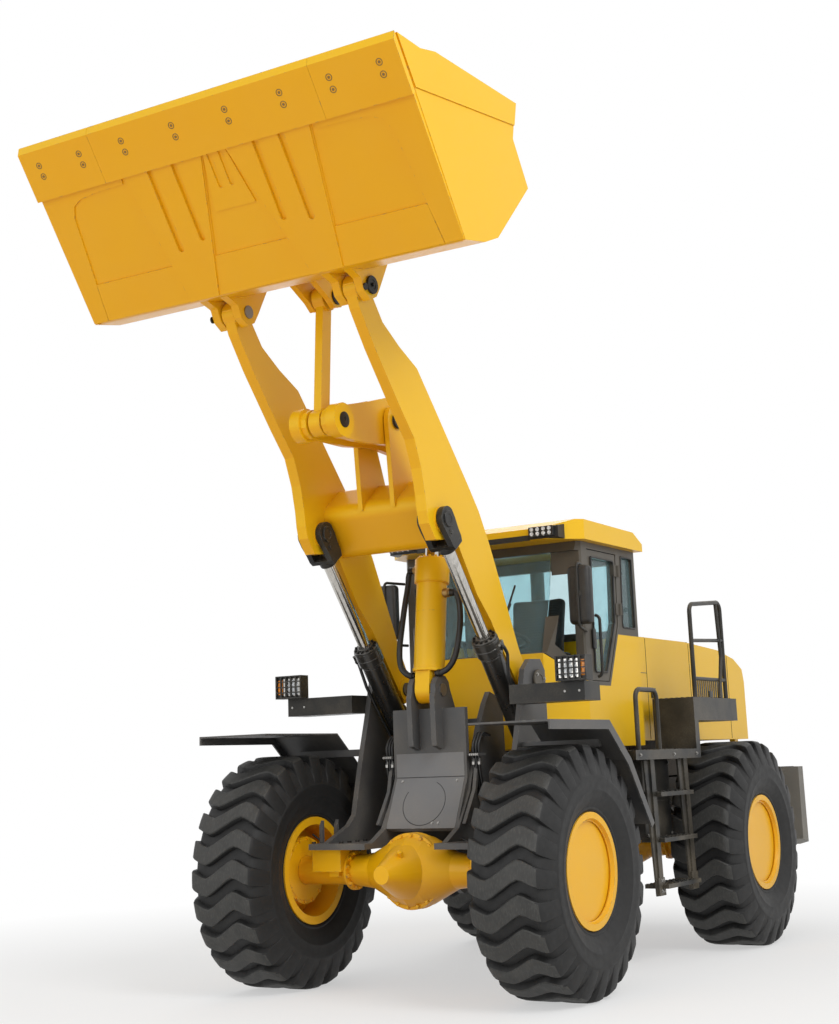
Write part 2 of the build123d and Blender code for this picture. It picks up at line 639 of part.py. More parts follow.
# ---- steering cylinders ------------------------------------------------------------------------
for name, side in (("left", 1), ("right", -1)):
    base = (steer_base[0], side * steer_base[1])
    eye = (steer_eye[0], side * steer_eye[1])
    turn = radians(slope(base, eye))
    length = distance(base, eye)

    def across(distance_along):
        place = (base[0] + distance_along * cos(turn), base[1] + distance_along * sin(turn), steer_z)
        return Plane(origin=place, x_dir=(0, 0, 1), z_dir=(cos(turn), sin(turn), 0))

    with BuildPart() as barrel:
        with BuildSketch(across(30)):
            Circle(26)
        extrude(amount=60)
        with BuildSketch(across(80)):
            Circle(steer_barrel_radius)
        extrude(amount=steer_barrel_length - 80)
        with BuildSketch(Plane.XY.offset(steer_z - steer_eye_width / 2)):
            with Locations(base):
                Circle(steer_eye_radius + 12)
        extrude(amount=steer_eye_width)
        with BuildSketch(across(100)):
            Circle(steer_rod_radius + running_gap)
        extrude(amount=steer_barrel_length, mode=Mode.SUBTRACT)
        with BuildSketch(Plane.XY.offset(steer_z - steer_eye_width / 2)):
            with Locations(base):
                Circle(steer_pin_radius + running_gap)
        extrude(amount=steer_eye_width, mode=Mode.SUBTRACT)
    save(barrel.part, f"steer_barrel_{name}")
    with BuildPart() as rod:
        with BuildSketch(across(length - 560)):
            Circle(steer_rod_radius)
        extrude(amount=560 - 30)
        with BuildSketch(Plane.XY.offset(steer_z - steer_eye_width / 2)):
            with Locations(eye):
                Circle(steer_eye_radius)
        extrude(amount=steer_eye_width)
    save(rod.part, f"steer_rod_{name}")

# ---- rear frame ----------------------------------------------------------------------------------
with BuildPart() as rear_frame:
    rail = [(-2240, 620), (-2240, 1240), (-2700, 1330), (-4700, 1330), (-4700, 1000), (-wheelbase - 500, 1000),
            (-wheelbase - 360, 1080), (-wheelbase + 360, 1080), (transmission_back_x, 620)]
    for side in (1, -1):
        plate(rail, side * rail_y, rail_plate)
        low, high = sorted((side * (rail_y - rail_plate / 2), side * (rail_y + rail_plate / 2)))
        block((-wheelbase - 130, -wheelbase + 130), (low, high), (pad_top, 1100))
        low, high = sorted((side * 460, side * 520))
        block((-2240, -1600), (low, high), (1480, cab_floor_z - seat_gap))
    block((-2260, -2220), (-520, 520), (560, cab_floor_z - seat_gap))
    for level in hitch_levels:
        with BuildSketch(Plane.XY.offset(level - hitch_ear_plate / 2)) as tongue:
            with BuildLine():
                Polyline((hitch_x, hitch_ear_radius), (-1800, 160), (-2230, 220), (-2230, -220), (-1800, -160),
                         (hitch_x, -hitch_ear_radius), close=True)
            make_face()
            with Locations((hitch_x, 0)):
                Circle(hitch_ear_radius)
        extrude(tongue.sketch, amount=hitch_ear_plate)
        with BuildSketch(Plane.XY.offset(level - hitch_ear_plate)) as bore:
            with Locations((hitch_x, 0)):
                Circle(hitch_pin_radius + seat_gap)
        extrude(bore.sketch, amount=2 * hitch_ear_plate, mode=Mode.SUBTRACT)
    for side in (1, -1):
        low, high = sorted((side * 110, side * 140))
        block((-2220, -1800), (low, high), (620, 1180))
    for place in (-3150, -4000):
        block((place - 20, place + 20), (-rail_y, rail_y), (1200, engine_seat_z))
    block((-4700, -4660), (-rail_y, rail_y), (1000, 1330))
    for side in (1, -1):
        for step in (-1, 1):
            middle = steer_z + step * (steer_eye_width / 2 + 8 + steer_ear_plate / 2)
            low, high = sorted((side * (steer_base[1] - 80), side * (steer_base[1] + 60)))
            block((-2220, steer_base[0] + 50), (low, high),
                  (middle - steer_ear_plate / 2, middle + steer_ear_plate / 2))
        with BuildSketch(Plane.XY.offset(steer_z - 60)) as pin:
            with Locations((steer_base[0], side * steer_base[1])):
                Circle(steer_pin_radius)
        extrude(pin.sketch, amount=120)
save(rear_frame.part, "rear_frame")

with BuildPart() as hitch_pins:
    for level in hitch_levels:
        with BuildSketch(Plane.XY.offset(level - 2 * hitch_ear_plate)):
            with Locations((hitch_x, 0)):
                Circle(hitch_pin_radius)
        extrude(amount=4 * hitch_ear_plate)
save(hitch_pins.part, "hitch_pins")

# ---- counterweight and power train ------------------------------------------------------------
weight_width = 2500
weight_outline = [(-4420, 760), (-4440, 1380), (rear_face_x + 90, 1380), (rear_face_x, 1290),
                  (rear_face_x, 860), (rear_face_x + 60, 700), (-4700, 700)]
tow_pin_radius = 25
tow_pin_inset = 120
with BuildPart() as counterweight:
    plate(weight_outline, 0, weight_width)
    block((-4700, -4300), (-rail_y - rail_plate / 2 - seat_gap, rail_y + rail_plate / 2 + seat_gap),
          (990, 1345), Mode.SUBTRACT)
    for side in (1, -1):
        low, high = sorted((side * (hood_lug_y - 50), side * (hood_lug_y - 10)))
        block((hood_hinge[0] - 40, hood_hinge[0] + 40), (low, high), (1380, hood_hinge[1] + 40))
        low, high = sorted((side * (hood_lug_y - 30), side * (hood_lug_y + 45)))
        cross_bar(hood_hinge, low, high, hood_pin_radius)
    # corners cut back in plan so that the tail swings inside the wheels
    for side in (1, -1):
        with BuildSketch(Plane.XY.offset(600)) as corner:
            with BuildLine():
                Polyline((rear_face_x - 10, side * 700), (rear_face_x - 10, side * 1300),
                         (-4560, side * 1300), (-4560, side * 1251), (rear_face_x, side * 800), close=True)
            make_face()
        extrude(corner.sketch, amount=900, mode=Mode.SUBTRACT)
    block((rear_face_x - 10, rear_face_x + 200), (-120, 120), (960, 1100), Mode.SUBTRACT)
    with BuildSketch(Plane.XY.offset(690)) as bore:
        with Locations((rear_face_x + tow_pin_inset, 0)):
            Circle(tow_pin_radius)
    extrude(bore.sketch, amount=700, mode=Mode.SUBTRACT)
save(counterweight.part, "counterweight")

with BuildPart() as engine_block:
    block((-4150, -3040 - seat_gap), (-330, 330), (engine_seat_z + seat_gap, 2150))
save(engine_block.part, "engine_block")

with BuildPart() as transmission:
    block((transmission_back_x, -2260 - seat_gap), (-300, 300), (720, 1300))
    with BuildSketch(Plane.YZ.offset(-2900)) as bell:
        with Locations((0, 1500)):
            Circle(280)
    extrude(bell.sketch, amount=-140)
    block((-2900, -2500), (-200, 200), (1300, 1500))
save(transmission.part, "transmission")


def driveshaft(start_x, end_x, level):
    with BuildPart() as body:
        for place, radius, length in ((start_x, shaft_flange_radius, shaft_flange),
                                      (start_x, shaft_radius, end_x - start_x),
                                      (end_x - shaft_flange, shaft_flange_radius, shaft_flange)):
            with BuildSketch(Plane.YZ.offset(place)) as face:
                with Locations((0, level)):
                    Circle(radius)
            extrude(face.sketch, amount=length)
    return body.part


save(driveshaft(-1500, -diff_radius - seat_gap, axle_z), "front_driveshaft")
save(driveshaft(-2220 + seat_gap, -1700, axle_z), "centre_driveshaft")
save(driveshaft(-wheelbase + diff_nose + seat_gap, transmission_back_x - seat_gap, axle_z), "rear_driveshaft")


# ---- cab -----------------------------------------------------------------------------------------
cab_half = 780
cab_wall = 60
cab_top_z = 3130
cab_rear_x = -2216
cab_nose_half = 550        # half width of the windscreen
pillar_x = -1250           # where the side begins to taper towards the windscreen
base_wall = 40
glass = 8
pane_gap = 0.3
door_gap = 6
# forward, up: the line where the glazed upper cab seats on its painted base, front to rear
cab_seat_line = [(-985, 2290), (-1290, 2050), (-1640, 2050), (-1830, 2450), (cab_rear_x, 2450)]
cab_front_line = [(-1220, cab_top_z), (-1150, 2750), (-1010, 2295)]
door_outline = [(-1345, cab_top_z - 50), (-1320, 2080), (-1625, 2080), (-1835, 2520), (-1865, cab_top_z - 50)]
door_inner = [(-1405, cab_top_z - 110), (-1385, 2150), (-1585, 2150), (-1775, 2535), (-1803, cab_top_z - 110)]
rear_pane = [(-1955, cab_top_z - 60), (-1925, 2510), (-2160, 2510), (-2160, cab_top_z - 60)]


def cab_plan(inset, front_x, low, high):
    """Block with the cab's plan: straight sides that taper to the windscreen."""
    half, nose = cab_half - inset, cab_nose_half - inset
    with BuildSketch(Plane.XY.offset(low)) as plan:
        with BuildLine():
            Polyline((cab_rear_x + inset, -half), (cab_rear_x + inset, half), (pillar_x, half),
                     (front_x - inset, nose), (front_x - inset, -nose), (pillar_x, -half), close=True)
        make_face()
    extrude(plan.sketch, amount=high - low)


cab_nose_x = -985
upper_outline = [*cab_front_line, (cab_seat_line[0][0] - 10, 2290 + seat_gap),
                 *[(x, z + seat_gap) for x, z in cab_seat_line[1:]], (cab_rear_x, cab_top_z)]
with BuildPart() as cab_room:
    cab_plan(cab_wall, cab_nose_x, cab_floor_z + base_wall, cab_top_z + 20)
    plate([(x - cab_wall, z) for x, z in cab_front_line]
          + [(-1045, 1500), (cab_rear_x, 1500), (cab_rear_x, cab_top_z + 270), (-1330, cab_top_z + 270)], 0, 2000, mode=Mode.INTERSECT)
with BuildPart() as cab:
    cab_plan(0, cab_nose_x, 2000, cab_top_z)
    plate(upper_outline, 0, 2000, mode=Mode.INTERSECT)
    add(cab_room.part, mode=Mode.SUBTRACT)
    for side in (1, -1):
        side_y = side * (cab_half - cab_wall / 2)
        plate(door_outline, side_y, cab_wall + 4, mode=Mode.SUBTRACT)
        plate(rear_pane, side_y, cab_wall + 4, mode=Mode.SUBTRACT)
        # opening for the tapering side pane between pillar and windscreen
        plate([(-1190, cab_top_z - 70), (-1120, 2740), (-1060, 2350), (-1235, 2150), (-1235, cab_top_z - 70)],
              side * 660, 400, mode=Mode.SUBTRACT)
    block((-1300, -900), (-cab_nose_half + 20, cab_nose_half - 20), (2300, cab_top_z - 70), Mode.SUBTRACT)
    block((cab_rear_x - 5, cab_rear_x + cab_wall + 5), (-cab_half + 110, cab_half - 110), (2510, cab_top_z - 90), Mode.SUBTRACT)
save(cab.part, "cab")

with BuildPart() as cab_base:
    cab_plan(0, cab_nose_x, cab_floor_z, 2500)
    base_outline = [(cab_nose_x, cab_floor_z), *cab_seat_line, (cab_rear_x, cab_floor_z)]
    plate(base_outline, 0, 2000, mode=Mode.INTERSECT)
    add(cab_room.part, mode=Mode.SUBTRACT)
save(cab_base.part, "cab_base")

roof_half = 850
with BuildPart() as cab_roof:
    with BuildSketch(Plane.XY.offset(cab_top_z + seat_gap)) as plan:
        with BuildLine():
            Polyline((-2243, -roof_half), (-2243, roof_half), (-1180, roof_half), (-960, 630), (-960, -630),
                     (-1180, -roof_half), close=True)
        make_face()
    extrude(plan.sketch, amount=170)
    roof_outline = [(-950, cab_top_z + 20), (-950, cab_top_z + 85), (-1130, cab_top_z + 152), (-2076, cab_top_z + 140),
                    (-2243, cab_top_z + 60), (-2243, cab_top_z - 30), (-1000, cab_top_z - 30)]
    plate(roof_outline, 0, 2000, mode=Mode.INTERSECT)
save(cab_roof.part, "cab_roof")

with BuildPart() as cab_glass:
    for side in (1, -1):
        plate(rear_pane, side * (cab_half - 25), glass, inset=pane_gap)
    plate(door_outline, -(cab_half - 25), glass, inset=pane_gap)
    screen = [(-1046, 2302), (-1054, 2302), (-1190, 2748), (-1242, cab_top_z - 72), (-1234, cab_top_z - 72), (-1182, 2748)]
    plate(screen, 0, 2 * (cab_nose_half - 20 - pane_gap))
    block((cab_rear_x + 20, cab_rear_x + 20 + glass), (-cab_half + 110 + pane_gap, cab_half - 110 - pane_gap), (2510 + pane_gap, cab_top_z - 90 - pane_gap))
save(cab_glass.part, "cab_glass")

with BuildPart() as cab_interior:
    floor_top = cab_floor_z + base_wall + seat_gap
    block((-1950, -1600), (-220, 220), (floor_top, 2050))
    block((-1980, -1480), (-260, 260), (2050, 2190))
    plate([(-1860, 2190), (-1980, 2190), (-2100, 2850), (-2010, 2850)], 0, 480)
    plate([(-1150, floor_top), (-1260, floor_top), (-1380, 2400), (-1310, 2430)], 0, 160)
    block((-1950, -1450), (-520, -360), (floor_top, 2300))
save(cab_interior.part, "cab_interior")

door_hinge_x = -1850
door_hinge_radius = 16
with BuildPart() as cab_door:
    plate(door_outline, cab_half - cab_wall / 2, cab_wall - 8, inset=door_gap)
    plate(door_inner, cab_half - cab_wall / 2, cab_wall, mode=Mode.SUBTRACT)
    for level in (2600, 2900):
        with BuildSketch(Plane.XY.offset(level)) as knuckle:
            with Locations((door_hinge_x - 10, cab_half + 16)):
                Circle(door_hinge_radius)
        extrude(knuckle.sketch, amount=90)
        block((door_hinge_x - 10, door_hinge_x + 60), (cab_half + 5, cab_half + 15), (level, level + 90))
        block((door_hinge_x + 30, door_hinge_x + 60), (cab_half - 20, cab_half + 15), (level, level + 90))
save(cab_door.part, "cab_door")
with BuildPart() as door_glass:
    plate(door_inner, cab_half - 25, glass, inset=pane_gap)
save(door_glass.part, "door_glass")

# ---- hood ------------------------------------------------------------------------------------------
hood_half = 680
hood_wall = 30
hood_front_x = -2230
hood_low_z = 1640
hood_outline = [(hood_front_x, hood_low_z), (hood_front_x, 2470), (-3400, 2470), (-4174, 2430), (-4555, 2366),
                (-4755, 2277), (-4790, 2160), (-4790, hood_low_z)]
hood_inner = [(hood_front_x + 10, hood_low_z - 10), (hood_front_x + 10, 2470 - hood_wall), (-3400, 2470 - hood_wall),
              (-4170, 2400), (-4545, 2336), (-4730, 2255), (-4760, 2150), (-4760, hood_low_z - 10)]
with BuildPart() as hood:
    plate(hood_outline, 0, 2 * hood_half)
    plate(hood_inner, 0, 2 * (hood_half - hood_wall), mode=Mode.SUBTRACT)
    block((-4800, -4700), (-430, 430), (1700, 2200), Mode.SUBTRACT)
    for side in (1, -1):
        low, high = sorted((side * hood_lug_y, side * (hood_half - hood_wall)))
        block((hood_hinge[0] - 40, hood_hinge[0] + 40), (low, high), (hood_hinge[1], hood_low_z + 200))
        cross_bar(hood_hinge, low, high, 40)
        cross_bar(hood_hinge, low, high, hood_pin_radius + running_gap, Mode.SUBTRACT)
save(hood.part, "hood")

with BuildPart() as hood_grille:
    block((-4785, -4765), (-430 + seat_gap, 430 - seat_gap), (1700 + seat_gap, 2200 - seat_gap))
    for row in range(9):
        level = 1730 + row * 53
        block((-4790, -4760), (-400, 400), (level, level + 26), Mode.SUBTRACT)
save(hood_grille.part, "hood_grille")

with BuildPart() as exhaust:
    with BuildSketch(Plane.XY.offset(2470 + seat_gap)) as stack:
        with Locations((-2600, -300)):
            Circle(60)
    extrude(stack.sketch, amount=620)
save(exhaust.part, "exhaust")

# ---- platforms, ladders and rails --------------------------------------------------------------------
platform_outer = 1150
platform_low_z = 1490
platform_plate = 70
ladder_rear_x = -wheelbase + tyre_radius + 195
ladder_front_x = -1560
with BuildPart() as platforms:
    for side in (1, -1):
        # the front edge is cut back so that the tower swings past it
        with BuildSketch(Plane.XY.offset(platform_low_z)) as deck:
            with BuildLine():
                Polyline((-2400, side * (cab_half + 20)), (-2400, side * platform_outer), (-1200, side * platform_outer),
                         (-1345, side * 1010), (-1495, side * (cab_half + 20)), close=True)
            make_face()
        extrude(deck.sketch, amount=platform_plate)
        low, high = sorted((side * (cab_half + 20), side * platform_outer))
        block((-3300, -2400), (low, high), (1780, 1960))
        block((-2440, -2360), (low, high), (1490, 1960))
        low, high = sorted((side * 520, side * (cab_half + 20)))
        block((-2260, -2220), (low, high), (1490, 1560))
save(platforms.part, "platforms")

with BuildPart() as ladders:
    for side in (1, -1):
        for x in (ladder_front_x, ladder_rear_x):
            top = platform_low_z - seat_gap
            plate([(x, top), (x - 70, top), (x - 110, 520), (x - 40, 520)], side * 1080, 40)
        for level, lean in ((560, 36), (890, 22), (1220, 10)):
            low, high = sorted((side * 960, side * 1150))
            block((ladder_rear_x - 30 - lean, ladder_front_x - 40 - lean), (low, high), (level, level + 30))
save(ladders.part, "ladders")

rail_radius = 18


def rail(points):
    """Bent tube through places, with a bend of one tube size at each corner."""
    with BuildPart() as tube:
        with BuildLine() as path:
            FilletPolyline(*points, radius=70)
        start = path.line @ 0
        with BuildSketch(Plane(origin=start, z_dir=path.line % 0)):
            Circle(rail_radius)
        sweep(path=path.line)
    return tube.part


with BuildPart() as handrails:
    for side in (1, -1):
        y = side * 1120
        add(rail([(-2480, y, 1960), (-2480, y, 2700), (-3150, y, 2760), (-3150, y, 1960)]))
        add(rail([(-1320, y, 1560), (-1320, y, 2000), (-1700, y, 2000), (-1700, y, 1560)]))
save(handrails.part, "handrails")

# ---- fenders and lamps ---------------------------------------------------------------------------------
fender_plate = 12
with BuildPart() as front_fenders:
    # forward, up: middle line of the bent sheet over each front wheel
    sheet_line = [(620, 1755), (-250, 1755), (-560, 1500), (-880, 1060)]
    # the lip that hangs from the sheet's outer edge
    flange = [(620, 1755), (-250, 1755), (-560, 1500), (-880, 1060), (-840, 1035), (-518, 1462), (-232, 1700), (620, 1700)]
    for side in (1, -1):
        with BuildSketch(side_plane(side * 1105)) as sheet:
            with BuildLine() as path:
                Polyline(*sheet_line)
            trace(path.line, line_width=fender_plate)
        extrude(sheet.sketch, amount=295, both=True)
        plate(flange, side * (1400 - fender_plate / 2), fender_plate)
        low, high = sorted((side * (tower_outer_y + tower_plate / 2 + seat_gap), side * 1250))
        block((-420, -380), (low, high), (1590, 1640))
        block((-760, -720), (low, high), (1220, 1265))
save(front_fenders.part, "front_fenders")

guard_rows = 4             # cells of the grid over each headlamp
guard_columns = 5
with BuildPart() as headlamps:
    for side in (1, -1):
        low, high = sorted((side * 1064, side * 1297))
        block((-250, -150), (low, high), (2030, 2200))
        for row in range(guard_rows):
            for column in range(guard_columns):
                y = low + 11 + column * (high - low - 8) / guard_columns
                z = 2040 + row * 160 / guard_rows
                block((-165, -140), (y, y + 33), (z, z + 160 / guard_rows - 8), Mode.SUBTRACT)
        low, high = sorted((side * (tower_outer_y + tower_plate / 2 + seat_gap), side * 1240))
        block((-470, -230), (low, high), (1900, 2030))
save(headlamps.part, "headlamps")

with BuildPart() as mirrors:
    for side in (1, -1):
        with BuildSketch(Plane.XY.offset(2480)) as head:
            with Locations((-1060, side * 850)):
                RectangleRounded(90, 190, 30)
        extrude(head.sketch, amount=440)
        low, high = sorted((side * (cab_half + seat_gap), side * 850))
        block((-1290, -1250), (low, high), (2920, 2950))
        block((-1290, -1040), (side * 830, side * 870), (2920, 2950))
save(mirrors.part, "mirrors")

with BuildPart() as work_lamps:
    for side in (1, -1):
        low, high = sorted((side * 520, side * 720))
        block((-960 + seat_gap, -905), (low, high), (cab_top_z + 20, cab_top_z + 90))
        block((-2310, -2243 - seat_gap), (low, high), (cab_top_z + 5, cab_top_z + 60))
save(work_lamps.part, "work_lamps")
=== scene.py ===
import math
import bmesh
import bpy
from mathutils import Matrix, Vector


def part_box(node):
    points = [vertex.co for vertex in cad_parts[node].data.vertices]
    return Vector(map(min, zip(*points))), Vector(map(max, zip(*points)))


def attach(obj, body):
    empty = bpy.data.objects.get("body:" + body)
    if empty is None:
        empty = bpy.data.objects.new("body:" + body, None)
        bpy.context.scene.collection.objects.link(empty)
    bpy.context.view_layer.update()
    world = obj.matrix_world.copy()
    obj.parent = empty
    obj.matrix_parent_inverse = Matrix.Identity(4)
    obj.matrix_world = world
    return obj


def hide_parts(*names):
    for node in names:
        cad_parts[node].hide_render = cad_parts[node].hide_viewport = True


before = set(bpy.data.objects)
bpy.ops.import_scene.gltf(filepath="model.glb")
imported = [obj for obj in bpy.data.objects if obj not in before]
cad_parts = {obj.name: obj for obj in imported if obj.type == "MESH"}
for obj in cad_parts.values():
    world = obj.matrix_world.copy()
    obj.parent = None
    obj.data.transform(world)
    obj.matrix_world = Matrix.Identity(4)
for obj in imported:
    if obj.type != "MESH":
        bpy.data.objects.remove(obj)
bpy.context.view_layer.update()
print("frame loaded:", len(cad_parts), "nodes")

scene = bpy.context.scene
scene.view_settings.view_transform = "Standard"
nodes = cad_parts


def middle(node):
    low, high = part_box(node)
    return (low + high) / 2


frontWheel = middle("wheel_front_left")
axleX = frontWheel.x        # the front axle, from which the machine is laid out


def at(x, y, z):
    return Vector((axleX + x, y, z))


# camera, at about chest height in front of the left front wheel
view = {"place": (9.590, 5.999, 1.507), "yaw": 3.68805, "pitch": 0.21755, "roll": -0.03647, "lens": 55.75,
        "shiftX": -0.0014, "shiftY": -0.0950}


def makeCamera():
    data = bpy.data.cameras.new("camera")
    data.lens = view["lens"]
    data.sensor_width = 36
    data.shift_x = view["shiftX"]
    data.shift_y = view["shiftY"]
    data.clip_end = 200
    ahead = Vector((math.cos(view["yaw"]) * math.cos(view["pitch"]),
            math.sin(view["yaw"]) * math.cos(view["pitch"]), math.sin(view["pitch"])))
    right = ahead.cross(Vector((0, 0, 1))).normalized()
    up = right.cross(ahead)
    turn = Matrix.Rotation(-view["roll"], 3, ahead)
    right, up = turn @ right, turn @ up
    camera = bpy.data.objects.new("camera", data)
    basis = Matrix((right, up, -ahead)).transposed().to_4x4()
    camera.matrix_world = Matrix.Translation(at(*view["place"])) @ basis
    scene.collection.objects.link(camera)
    scene.camera = camera


makeCamera()


# small node helpers
def link(tree, a, b):
    tree.links.new(a, b)


def maths(tree, operation, a, b=None, clamp=False):
    node = tree.nodes.new("ShaderNodeMath")
    node.operation = operation
    node.use_clamp = clamp
    for socket, value in zip(node.inputs, (a, b)):
        if value is None:
            continue
        if isinstance(value, (int, float)):
            socket.default_value = value
        else:
            link(tree, value, socket)
    return node.outputs[0]


def blendColour(tree, factor, a, b):
    node = tree.nodes.new("ShaderNodeMix")
    node.data_type = "RGBA"
    for socket, value in ((node.inputs[0], factor), (node.inputs[6], a), (node.inputs[7], b)):
        if isinstance(value, (int, float)):
            socket.default_value = value
        elif isinstance(value, tuple):
            socket.default_value = (*value, 1) if len(value) == 3 else value
        else:
            link(tree, value, socket)
    return node.outputs[2]


def span(tree, value, low, high, outLow=0.0, outHigh=1.0):
    node = tree.nodes.new("ShaderNodeMapRange")
    node.inputs[1].default_value = low
    node.inputs[2].default_value = high
    node.inputs[3].default_value = outLow
    node.inputs[4].default_value = outHigh
    link(tree, value, node.inputs[0])
    return node.outputs[0]


def noiseMask(tree, place, scale, detail=3, stretch=None):
    if stretch:
        mapping = tree.nodes.new("ShaderNodeMapping")
        mapping.inputs["Scale"].default_value = stretch
        link(tree, place, mapping.inputs["Vector"])
        place = mapping.outputs[0]
    node = tree.nodes.new("ShaderNodeTexNoise")
    node.inputs["Detail"].default_value = detail
    link(tree, place, node.inputs["Vector"])
    if isinstance(scale, (int, float)):
        node.inputs["Scale"].default_value = scale
    else:
        link(tree, scale, node.inputs["Scale"])
    return node.outputs[0]


socketKinds = {float: "Float", int: "Int", bool: "Bool", tuple: "Color", type(None): "Material"}


def addInputs(tree, inputs):
    # the kind of each input follows from its value, and None stands for a material
    for label, value in inputs.items():
        kind = "NodeSocket" + socketKinds[type(value)]
        socket = tree.interface.new_socket(name=label, in_out="INPUT", socket_type=kind)
        if value is not None:
            socket.default_value = value


def newGroup(name, inputs, outputs):
    tree = bpy.data.node_groups.new(name, "ShaderNodeTree")
    addInputs(tree, inputs)
    for label, kind in outputs.items():
        tree.interface.new_socket(name=label, in_out="OUTPUT", socket_type="NodeSocket" + kind)
    return tree, tree.nodes.new("NodeGroupInput"), tree.nodes.new("NodeGroupOutput")


def objectPlace(tree):
    return tree.nodes.new("ShaderNodeTexCoord").outputs["Object"]


def facingUp(tree):
    split = tree.nodes.new("ShaderNodeSeparateXYZ")
    link(tree, tree.nodes.new("ShaderNodeNewGeometry").outputs["Normal"], split.inputs[0])
    return split.outputs["Z"]


def makeWornEdges():
    tree, source, result = newGroup("wornEdges", {"Radius": 0.004, "Wear": 0.5, "Scale": 30.0},
            {"Mask": "Float"})
    bevel = tree.nodes.new("ShaderNodeBevel")
    bevel.samples = 4
    link(tree, source.outputs["Radius"], bevel.inputs["Radius"])
    geometry = tree.nodes.new("ShaderNodeNewGeometry")
    dot = tree.nodes.new("ShaderNodeVectorMath")
    dot.operation = "DOT_PRODUCT"
    link(tree, bevel.outputs[0], dot.inputs[0])
    link(tree, geometry.outputs["Normal"], dot.inputs[1])
    edge = span(tree, dot.outputs["Value"], 0.99, 0.8)
    place = objectPlace(tree)
    patches = noiseMask(tree, place, source.outputs["Scale"], 4)
    chips = span(tree, maths(tree, "ADD", patches, maths(tree, "MULTIPLY", source.outputs["Wear"], 0.35)),
            0.6, 0.72)
    link(tree, maths(tree, "MULTIPLY", edge, chips, True), result.inputs["Mask"])
    return tree


def makeDust():
    inputs = {"Color": (1, 1, 1, 1), "Dust": (0.45, 0.38, 0.28, 1), "Amount": 0.3, "Scale": 3.0,
            "Top": 2.2}
    tree, source, result = newGroup("settledDust", inputs, {"Color": "Color", "Mask": "Float"})
    place = objectPlace(tree)
    split = tree.nodes.new("ShaderNodeSeparateXYZ")
    link(tree, place, split.inputs[0])
    height = maths(tree, "DIVIDE", split.outputs["Z"], source.outputs["Top"])
    lowDown = span(tree, height, 1.0, 0.0, 0.15, 1.0)
    upward = span(tree, facingUp(tree), 0.2, 0.95, 0.25, 1.0)
    cloud = span(tree, noiseMask(tree, place, source.outputs["Scale"], 6), 0.38, 0.68)
    speck = span(tree, noiseMask(tree, place, 90, 2), 0.45, 0.7, 0.6, 1.0)
    mask = maths(tree, "MULTIPLY", maths(tree, "MULTIPLY", cloud, speck),
            maths(tree, "MAXIMUM", lowDown, upward))
    mask = maths(tree, "MULTIPLY", mask, source.outputs["Amount"], True)
    link(tree, mask, result.inputs["Mask"])
    link(tree, blendColour(tree, mask, source.outputs["Color"], source.outputs["Dust"]),
            result.inputs["Color"])
    return tree


def makeSurface():
    inputs = {"Grain Scale": 400.0, "Wave Scale": 6.0, "Grain": 0.3, "Wave": 0.5}
    tree, source, result = newGroup("fineSurface", inputs, {"Height": "Float"})
    place = objectPlace(tree)
    grain = maths(tree, "MULTIPLY", noiseMask(tree, place, source.outputs["Grain Scale"], 2),
            source.outputs["Grain"])
    wave = maths(tree, "MULTIPLY", noiseMask(tree, place, source.outputs["Wave Scale"], 2),
            source.outputs["Wave"])
    link(tree, maths(tree, "ADD", grain, wave), result.inputs["Height"])
    return tree


wornEdges = makeWornEdges()
settledDust = makeDust()
fineSurface = makeSurface()


def useGroup(tree, group, **values):
    node = tree.nodes.new("ShaderNodeGroup")
    node.node_tree = group
    for name, value in values.items():
        socket = node.inputs[name.replace("_", " ")]
        if isinstance(value, (int, float, tuple)):
            socket.default_value = value
        else:
            link(tree, value, socket)
    return node


finishes = {}


def startMaterial(name):
    material = bpy.data.materials.new(name)
    material.use_nodes = True
    finishes[name] = material
    tree = material.node_tree
    shader = tree.nodes["Principled BSDF"]
    place = objectPlace(tree)
    return tree, shader, place


def setValues(node, **values):
    for name, value in values.items():
        node.inputs[name.replace("_", " ")].default_value = value


def roughen(tree, shader, pattern, spread, base):
    rough = maths(tree, "ADD", maths(tree, "MULTIPLY", pattern, spread), base)
    link(tree, rough, shader.inputs["Roughness"])


def bumpFrom(tree, shader, height, distance):
    bump = tree.nodes.new("ShaderNodeBump")
    bump.inputs["Distance"].default_value = distance
    link(tree, height, bump.inputs["Height"])
    link(tree, bump.outputs[0], shader.inputs["Normal"])


def paintMaterial(name, colour, second, roughness=0.32, dust=0.25, top=2.4, wear=0.3,
        bare=(0.16, 0.14, 0.12), coat=0.05, gleam=0.25, wave=0.6, grain=0.25, bump=0.0012):
    tree, shader, place = startMaterial(name)
    # painted light and shade: faces that face down take the first colour, faces that face up the second,
    # with random tone from noise
    paintedLightByFacing = maths(tree, "ADD", span(tree, facingUp(tree), -0.5, -0.05, -0.1, 0.85),
            maths(tree, "MULTIPLY", noiseMask(tree, place, 1.7, 3), 0.3), True)
    tone = blendColour(tree, paintedLightByFacing, colour, second)
    dusty = useGroup(tree, settledDust, Color=tone, Dust=(0.5, 0.42, 0.3, 1), Amount=dust, Scale=3.2,
            Top=top)
    worn = useGroup(tree, wornEdges, Radius=0.005, Wear=wear, Scale=26.0)
    surface = blendColour(tree, worn.outputs["Mask"], dusty.outputs["Color"], bare)
    link(tree, surface, shader.inputs["Base Color"])
    gloss = maths(tree, "ADD", maths(tree, "MULTIPLY", noiseMask(tree, place, 12, 3), 0.12),
            roughness - 0.06)
    gloss = maths(tree, "ADD", gloss, maths(tree, "MULTIPLY", dusty.outputs["Mask"], 0.4), True)
    link(tree, gloss, shader.inputs["Roughness"])
    setValues(shader, Specular_IOR_Level=gleam, Coat_Weight=coat, Coat_Roughness=0.12)
    fine = useGroup(tree, fineSurface, Grain_Scale=700.0, Wave_Scale=5.0, Grain=grain, Wave=wave)
    bumpFrom(tree, shader, fine.outputs["Height"], bump)


